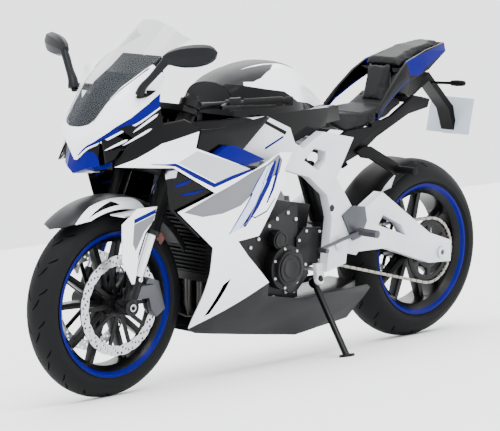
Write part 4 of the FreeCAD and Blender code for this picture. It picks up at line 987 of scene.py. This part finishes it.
PANEL = 4.0
FRONT_RING_R = 344.0
REAR_RING_R = 329.0
LEG_PLATE_Y = 132.0
FRONT_BORDER = [(49, 0), (52, -44), (59, -76), (67, -92), (153, -92), (153, 92), (67, 92), (59, 76), (52, 44)]
REAR_BORDER = [(12, -60), (14, -102), (81, -102), (81, 102), (14, 102), (12, 60)]
# Each section from its middle out: the way along it, the drop below its crown, and the place across.
FRONT_SECTION = ([0.0, 34.1, 62.3, 92.8], [0.0, 3.0, 14.0, 40.0], [0.0, 34.0, 60.0, 76.0])
REAR_SECTION = ([0.0, 60.2, 102.9], [0.0, 5.0, 28.0], [0.0, 60.0, 96.0])
# The CAD guards' own skin, which the sheet takes over, lies within these widths and outside these radii.
FRONT_SKIN_Y = 77.0
REAR_SKIN_Y = 97.0
FRONT_INNER_R = 296.0
REAR_INNER_R = 292.0
GUARD_MARKS = [(WHITE, [(66, 92.7), (57, 70), (72, 50), (104, 44), (112, 92.7)]),
               (BLACK, [(66, 82), (86, 60), (91, 78)])]
LEG_PLATE = [(1458, 566), (1395, 610), (1313, 609), (1327, 568), (1364, 530), (1392, 470), (1400, 412),
             (1410, 376), (1419, 376), (1459, 450)]
LEG_MARKS = [(BLUE, [(1410, 578), (1410, 564), (1320, 588), (1317, 602)]),
             (GREY, [(1410, 562), (1321, 586), (1331, 563), (1368, 535), (1404, 478), (1416, 500)])]
HUGGER_MARKS = [(LIGHT_GREY, [(45, 82), (64, 80), (52, 102)])]


def guard_sheet(name, centre, ring_r, section, border, base, marks):
    """A crowned guard over a tyre, drawn flat: degrees round the axle and millimetres across its section."""
    run, drops, places = section
    radii = [ring_r - drop for drop in drops]
    stations, radii, places = mirrored(run), radii[:0:-1] + radii, mirrored(places)

    def on_ring(u, v):
        angle, r = u / ring_r, smooth(stations, radii, v)
        across = smooth(stations, places, v)
        return Vector((centre.x + r * math.cos(angle), across, centre.z + r * math.sin(angle)))

    def drawn(points):
        return [(math.radians(degrees) * ring_r, v) for degrees, v in points]

    sheet = flat_sheet(name, drawn(border), 12.0)
    painted(sheet, base, [(finish, drawn(mark)) for finish, mark in marks])
    wrapped(sheet, on_ring, (0.3, 0, 1), PANEL)
    return sheet


def both_flanks(marks):
    return marks + [(finish, [(degrees, -v) for degrees, v in border[::-1]]) for finish, border in marks]


def mudguards():
    """The front guard with its painted flanks and leg plates, and the rear hugger."""
    name = "front_fender_finished"
    marks = both_flanks(GUARD_MARKS)
    crown = guard_sheet(name, FRONT_AXLE, FRONT_RING_R, FRONT_SECTION, FRONT_BORDER, DARK_GREY, marks)
    mounts = cad_copy("front_fender")
    cleared(mounts, lambda p: abs(p.y) < FRONT_SKIN_Y and (p - FRONT_AXLE).xz.length > FRONT_INNER_R)
    cleared(mounts, lambda p: abs(p.y) > LEG_PLATE_Y - 3.0)
    painted(mounts, WHITE)
    plate = painted(flat_sheet("leg_plate", LEG_PLATE, 14.0), WHITE, LEG_MARKS)
    wrapped(plate, lambda x, z: Vector((x, LEG_PLATE_Y + 2.5, z)), (0, 1, 0), PANEL)
    plates = both_hands(plate, "leg_plates")
    finished(joined([crown, mounts, plates], name), ["front_fender"], smooth_deg=36.0)
    name = "rear_hugger_finished"
    marks = both_flanks(HUGGER_MARKS)
    hugger = guard_sheet(name, REAR_AXLE, REAR_RING_R, REAR_SECTION, REAR_BORDER, PLASTIC, marks)
    ears = cad_copy("rear_hugger")
    cleared(ears, lambda p: abs(p.y) < REAR_SKIN_Y and (p - REAR_AXLE).xz.length > REAR_INNER_R)
    finished(joined([hugger, painted(ears, PLASTIC)], name), ["rear_hugger"], smooth_deg=36.0)


REFLECTOR = (1286, 116, 505)
REFLECTOR_PATH = [(1322, 112, 505), (1300, 114, 505), (1282, 114, 505)]


def reflectors():
    """Amber reflectors on short brackets behind the fork tubes."""
    lens = boss("reflector", REFLECTOR, 21.0, 6.0, [(2.0, 1.0)], sides=4, ease=0.6)
    bracket = swept("reflector_bracket", REFLECTOR_PATH, [(6, 3), (6, 2.5), (6, 2)], steps=6)
    painted(lens, AMBER)
    painted(bracket, BLACK_METAL)
    finished(both_hands(joined([bracket, lens], "reflectors"), "reflectors"), [], "steering")


# Frame and rear end.

FRAME_INLAY = [(871, 845), (779, 803), (788, 793), (883, 838)]
FRAME_LINE = [(880, 760), (795, 792), (795, 785), (880, 752)]
# A flat dark grey hexagon: painted shade standing in for the hex recess, which is not carved.
HEX_RECESS_SHADE = round_about((566, 530), 13, 6)
SPAR_FACE_Y = 172.0
HEAD_X = 900.0


def frame_and_arm():
    """The silver castings; marks lie only on the spars' outer faces, and the steering head is black."""
    casting = eased(cad_copy("main_frame"), 1.6)
    # The dark grey hexagon is painted shade for the uncarved hex recess.
    marks = [(BLUE, FRAME_LINE), (PLASTIC, FRAME_INLAY), (DARK_GREY, HEX_RECESS_SHADE)]
    painted(casting, FRAME_SILVER, marks, SIDE_VIEW)
    coated(casting, FRAME_SILVER, lambda p: abs(p.y) < SPAR_FACE_Y)
    coated(casting, BLACK, lambda p: p.x > HEAD_X and abs(p.y) < SPAR_FACE_Y)
    finished(casting, ["main_frame"])
    finished(painted(eased(cad_copy("swingarm"), 1.6), FRAME_SILVER), ["swingarm"])


TAIL_BLUE = [(118, 986), (-126, 1033), (-126, 1006), (26, 952), (52, 930), (104, 936)]
TAIL_LINE = [(300, 803), (240, 853), (165, 898), (110, 923), (110, 927), (165, 902), (240, 857), (300, 807)]
TAIL_SIDE_Y = 52.0
HOLDER_LENS_Y = 88.0


def tail():
    """The black tail with its blue panels and thin blue line, and the arm that holds the plate."""
    cowl = eased(cad_copy("tail_cowl"), 3.0, segments=3)
    painted(cowl, BLACK, [(BLUE, TAIL_BLUE), (BLUE, TAIL_LINE)], SIDE_VIEW)
    coated(cowl, BLACK, lambda p: abs(p.y) < TAIL_SIDE_Y)
    finished(cowl, ["tail_cowl"])
    holder = painted(cad_copy("plate_holder"), PLASTIC)
    coated(holder, AMBER, lambda p: abs(p.y) > HOLDER_LENS_Y)
    finished(holder, ["plate_holder"])


# Seats: foam under a stretched cover, swollen by pressure and then capped.

CLOTH_FRAMES = 20
PRESSURE = 4.0
VOXEL_MM = 5.0


def stuffed(piece, cap):
    """Lets cloth pressure swell a cushion, each point by no more than the cap."""
    before = [vertex.co.copy() for vertex in piece.data.vertices]
    cloth = piece.modifiers.new("stuffing", "CLOTH")
    cloth.settings.use_pressure = True
    cloth.settings.uniform_pressure_force = PRESSURE
    cloth.settings.effector_weights.gravity = 0.0
    for number in range(1, CLOTH_FRAMES + 1):
        bpy.context.scene.frame_set(number)
    swollen = piece.evaluated_get(bpy.context.evaluated_depsgraph_get()).to_mesh()
    after = [vertex.co.copy() for vertex in swollen.vertices]
    piece.modifiers.remove(cloth)
    for vertex, old, new in zip(piece.data.vertices, before, after):
        move = new - old
        vertex.co = old + move * min(1.0, cap / max(move.length, 1e-9))
    bpy.context.scene.frame_set(1)


def cushion(node, cap_mm, shrink):
    """A seat of the CAD pad's extent, with its edges rounded and its cover drawn tight."""
    pad = cad_copy(node)
    middle = sum((vertex.co for vertex in pad.data.vertices), Vector()) / len(pad.data.vertices)
    pad.data.transform(Matrix.Translation(middle) @ Matrix.Scale(shrink, 4) @ Matrix.Translation(-middle))
    eased(pad, 7.0, segments=3, from_deg=20.0)
    pad.data.transform(STANDING)
    modifier(pad, "REMESH", mode="VOXEL", voxel_size=VOXEL_MM * MM)
    stuffed(pad, cap_mm * MM)
    modifier(pad, "SUBSURF", levels=1, render_levels=1)
    painted(pad, VINYL)
    only(pad)
    bpy.ops.object.shade_smooth()
    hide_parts(node)
    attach(pad, BODY_OF[node])


STALK_PATH = [(-96, 24, 892), (-104, 80, 894), (-110, 112, 895)]
INDICATOR_PATH = [(-108, 104, 895), (-114, 134, 896), (-118, 168, 897)]
INDICATOR_LENS_X = -116.0


def indicators():
    """Slim indicator stalks behind the tail, with amber lenses at their ends."""
    stalk = painted(swept("indicator_stalk", STALK_PATH, [(7, 6), (5, 5), (6, 6)], steps=10), PLASTIC)
    head = swept("indicator_head", INDICATOR_PATH, [(10, 9), (13, 11), (9, 8)], steps=10, cap=0.12)
    coated(painted(head, PLASTIC), AMBER, lambda p: p.x < INDICATOR_LENS_X)
    pair = both_hands(joined([stalk, head], "indicators"), "indicators")
    finished(pair, [], "chassis", smooth_deg=40.0)


# The chain: one link's plates and roller, repeated along the loop round both sprockets.

PITCH = 15.875
CHAIN_MIDDLE = 105.0
WAIST = 0.72
REAR_TEETH = 45
FRONT_TEETH = 16
BIG_R = PITCH / (2.0 * math.sin(math.pi / REAR_TEETH))
SMALL_R = PITCH / (2.0 * math.sin(math.pi / FRONT_TEETH))
OUTPUT = Vector((612.0, 0.0, 400.0))


def chain_places():
    """The pins' places: along the top run, round the front sprocket, back below and round the rear one."""
    reach = OUTPUT - REAR_AXLE
    slope = math.atan2(reach.z, reach.x)
    opening = math.acos((BIG_R - SMALL_R) / reach.length)
    run = math.sqrt(reach.length ** 2 - (BIG_R - SMALL_R) ** 2)
    near, far = SMALL_R * 2.0 * opening, BIG_R * 2.0 * (math.pi - opening)
    total = 2.0 * run + near + far
    count = 2 * round(total / PITCH / 2.0)

    def round_point(centre, r, angle):
        return centre + Vector((r * math.cos(angle), 0.0, r * math.sin(angle)))

    top = [round_point(REAR_AXLE, BIG_R, slope + opening), round_point(OUTPUT, SMALL_R, slope + opening)]
    low = [round_point(OUTPUT, SMALL_R, slope - opening), round_point(REAR_AXLE, BIG_R, slope - opening)]
    places = []
    for i in range(count):
        s = total * i / count
        if s < run:
            places.append(top[0].lerp(top[1], s / run))
        elif s < run + near:
            places.append(round_point(OUTPUT, SMALL_R, slope + opening - (s - run) / SMALL_R))
        elif s < 2.0 * run + near:
            places.append(low[0].lerp(low[1], (s - run - near) / run))
        else:
            places.append(round_point(REAR_AXLE, BIG_R, slope - opening - (s - 2.0 * run - near) / BIG_R))
    return places


def link(name, inner, outer, height):
    """A left and a right plate, drawn out to the next pin and narrowed at the waist, with the pin between."""
    plate = boss("plate", (0.0, inner, 0.0), height, outer - inner, [(1.6, 0.5)], sides=12, ease=0.3)
    for vertex in plate.data.vertices:
        if abs(vertex.co.x) < height * 0.6:
            vertex.co.z *= WAIST
        vertex.co.x += PITCH / 2.0 + math.copysign(PITCH / 2.0, vertex.co.x)
    pin = boss("pin", (0.0, -outer - 0.8, 0.0), 2.6, 2.0 * outer + 1.6, [(0.6, 0.0)], sides=8, ease=0.3)
    roller = boss("roller", (0.0, -3.2, 0.0), 5.0, 6.4, [(0.6, 0.0)], sides=10, ease=0.3)
    return joined([plate, copied(plate, "plate_right", MIRROR), pin, roller], name)


def chain():
    """Outer and inner links in turn, each set between its two pins."""
    places = chain_places()
    patterns = [link("outer_link", 5.6, 7.6, 7.0), link("inner_link", 3.4, 5.2, 6.6)]
    links = []
    for i, (here, there) in enumerate(zip(places, places[1:] + places[:1])):
        turn = Matrix.Rotation(-math.atan2(there.z - here.z, there.x - here.x), 4, "Y")
        place = Matrix.Translation(here + Vector((0.0, CHAIN_MIDDLE, 0.0))) @ turn
        links.append(copied(patterns[i % 2], "link", place))
    for pattern in patterns:
        discarded(pattern)
    finished(painted(joined(links, "chain_finished"), CHAIN_STEEL), ["chain"], smooth_deg=36.0)


# Engine: bolts, stepped covers and the radiator's louvres.

CASE_BOLTS = [(863, 454), (814, 492), (778, 512), (727, 527), (690, 502), (737, 264), (700, 262), (796, 254),
              (900, 430), (960, 420), (950, 330), (985, 300), (905, 250), (860, 520), (900, 560), (960, 560),
              (985, 640), (870, 670)]
COVER_BOLTS = [(584, 450), (646, 458), (680, 430), (680, 362), (650, 346), (586, 352)]
CASE_Y = 128.0
SPROCKET_COVER_Y = 134.0
ALTERNATOR = (765.0, 166.0, 352.0)
CLUTCH = (715.0, 168.0, 372.0)
# Each ring: its place, radius, height, the steps of its face as pairs of inset and depth, and its sides.
LEFT_RINGS = [
    ((765, 182, 352), 50.0, 4.0, [(6.0, 0.0), (1.5, -3.0), (10.0, 0.0), (1.5, 3.0), (8.0, -2.0)], 48),
    ((790, 160, 446), 26.0, 4.0, [(4.0, 0.0), (1.5, -3.0), (8.0, 2.0)], 32),
    ((716, 128, 292), 34.0, 12.0, [(4.0, 1.5), (2.0, -3.0), (10.0, 0.0), (2.0, 4.0)], 32),
    ((900, 128, 350), 46.0, 6.0, [(5.0, 0.0), (2.0, -3.0), (18.0, 0.0), (2.0, 3.0)], 40),
]
RIGHT_RINGS = [
    ((715, 182, 372), 56.0, 4.0, [(7.0, 0.0), (1.5, -3.0), (14.0, 0.0), (1.5, 3.0), (8.0, -2.0)], 48),
]
LOUVRES = 15
LOUVRE_X = 1086
LOUVRE_Y = 138
LOUVRE_LOW_Z = 372
LOUVRE_PITCH = 12.6


def bolt(place, radius=6.5):
    return boss("bolt", place, radius, 4.0, [(1.4, 0.8), (1.6, -2.0)], sides=12, ease=0.5)


def bolt_circle(middle, radius, count, first=0.0):
    """Bolts round a cover; the first stands at a share of their spacing."""
    x, y, z = middle
    return [bolt((u, y, v), 5.0) for u, v in round_about((x, z), radius, count, first)]


def engine_side(name, bolts, rings):
    """Steel bolts and stepped cast rings on one side of the engine, drawn as if on the left."""
    metal = painted(joined(bolts, name + "_bolts"), STEEL)
    cast = painted(joined([boss("ring", *ring) for ring in rings], name + "_rings"), ENGINE)
    return joined([metal, cast], name)


def engine_fittings():
    """The left side's fittings, and the right side's, which are drawn on the left and mirrored."""
    case = [(x, CASE_Y, z) for x, z in CASE_BOLTS]
    bolts = [bolt(place) for place in case] + [bolt((x, SPROCKET_COVER_Y, z), 5.5) for x, z in COVER_BOLTS]
    left = engine_side("engine_fittings", bolts + bolt_circle(ALTERNATOR, 66.0, 7, 0.5), LEFT_RINGS)
    finished(left, [], "chassis", smooth_deg=40.0)
    bolts = [bolt(place) for place in case] + bolt_circle(CLUTCH, 77.0, 8)
    right = engine_side("clutch_side", bolts, RIGHT_RINGS)
    finished(copied(right, "engine_fittings_right", MIRROR), [], "chassis", smooth_deg=40.0)
    discarded(right)


def louvres():
    """Flat slats across the front of the radiator."""
    slats = []
    for row in range(LOUVRES):
        z = LOUVRE_LOW_Z + LOUVRE_PITCH * row
        path = [(LOUVRE_X, -LOUVRE_Y, z), (LOUVRE_X, LOUVRE_Y, z)]
        slats.append(swept("louvre", path, [(7, 2.2), (7, 2.2)], around=8, steps=4, cap=0.02))
    slats = painted(joined(slats, "radiator_louvres"), BLACK_METAL)
    finished(slats, [], "chassis", smooth_deg=40.0)


# Everything that keeps its CAD shape and only takes its finish and eased edges.

# Each node stands with the width of its eased edges in millimetres.
PLAIN = {
    DARK_GREY: {"belly_pan": 1.0},
    BLUE: {"duct_scoops": 2.0},
    BLACK: {"duct_covers": 1.5},
    PLASTIC: {"fairing_stay": 1.0, "dash_panel": 2.0, "rear_subframe": 2.0,
              "pillion_pegs": 1.5, "fairing_brackets": 0.0},
    ENGINE: {"engine_block": 2.0, "alternator_cover": 1.2, "clutch_cover": 1.2, "sprocket_cover": 1.2},
    BLACK_METAL: {"steering_stem": 1.0, "top_yoke": 1.5, "side_stand": 1.0, "shock_absorber": 1.0,
                  "rear_sprocket": 0.5, "rear_caliper": 1.5},
    CALIPER: {"front_calipers": 2.0, "rearsets": 1.0},
    ALUMINIUM: {"pivot_axle": 1.0},
    STEEL: {"front_axle": 0.0, "rear_axle": 1.0, "output_sprocket": 0.5},
    CORE: {"radiator": 0.0},
    TITANIUM: {"exhaust": 1.0},
    RED: {"tail_lamp": 1.5},
    PLATE: {"number_plate": 0.0},
}


def plain_pieces():
    for finish, nodes in PLAIN.items():
        for node, ease in nodes.items():
            dressed(node, finish, ease)


side_fairing()
intake()
nose()
lamps()
mirrors()
tank()
tyre("front_tyre", FRONT_AXLE, FRONT_TYRE_R, width=118.0, crown=62.0, rim_width=89.0)
tyre("rear_tyre", REAR_AXLE, REAR_TYRE_R, width=178.0, crown=98.0, rim_width=140.0)
discs()
rims()
front_end()
mudguards()
frame_and_arm()
tail()
chain()
engine_fittings()
louvres()
indicators()
reflectors()
cushion("rider_seat", 7.0, 0.985)
cushion("seat_pad", 6.0, 0.97)
cushion("pillion_seat", 6.0, 0.97)
plain_pieces()


# The photograph's view: the camera of the upright bike, leant over with it.

CAMERA_PLACE = Vector((6552.4, 5852.0, 1756.1))
CAMERA_LOOK = Vector((-0.69467716, -0.70351061, -0.14998819))
PHOTO_WIDTH_PX = 500.0
FOCAL_PX = 2514.1
SENSOR_MM = 36.0


def photo_camera():
    data = bpy.data.cameras.new("photo_view")
    data.sensor_width = SENSOR_MM
    data.lens = FOCAL_PX / PHOTO_WIDTH_PX * SENSOR_MM
    data.clip_end = 100.0
    camera = bpy.data.objects.new("photo_view", data)
    bpy.context.scene.collection.objects.link(camera)
    side = CAMERA_LOOK.cross(Vector((0, 0, 1))).normalized()
    up = side.cross(CAMERA_LOOK)
    turn = Matrix((side, up, -CAMERA_LOOK)).transposed().to_4x4()
    stance = STANDING @ Matrix.Translation(CAMERA_PLACE) @ turn
    camera.matrix_world = Matrix.LocRotScale(stance.to_translation(), stance.to_quaternion(), None)
    bpy.context.scene.camera = camera


# Each soft sun: its name, the way to it, its width in degrees and its strength.
SUNS = [("key_sun", (1.2, 2.4, 4.0), 30.0, 3.0), ("back_sun", (-2.5, -2.0, 3.0), 40.0, 1.0)]


def studio():
    """A wide pale floor, an even bright sky and two wide soft suns."""
    bpy.ops.object.select_all(action="DESELECT")
    bpy.ops.mesh.primitive_plane_add(size=60.0, location=(0, 0, 0))
    floor = bpy.context.object
    floor.name = "studio_floor"
    floor.data.materials.append(surface("studio_floor_paint", "f7f7f7", 0.7, 0.01, 40.0, 0.05))
    world = bpy.data.worlds.new("studio_air")
    world.use_nodes = True
    sky = world.node_tree.nodes["Background"].inputs
    sky["Color"].default_value = linear("f8f9fb")
    sky["Strength"].default_value = 2.6
    bpy.context.scene.world = world
    for name, way, wide_deg, strength in SUNS:
        data = bpy.data.lights.new(name, "SUN")
        data.angle = math.radians(wide_deg)
        data.energy = strength
        lamp = bpy.data.objects.new(name, data)
        bpy.context.scene.collection.objects.link(lamp)
        lamp.rotation_mode = "QUATERNION"
        lamp.rotation_quaternion = (-Vector(way)).to_track_quat("-Z", "Y")


photo_camera()
studio()
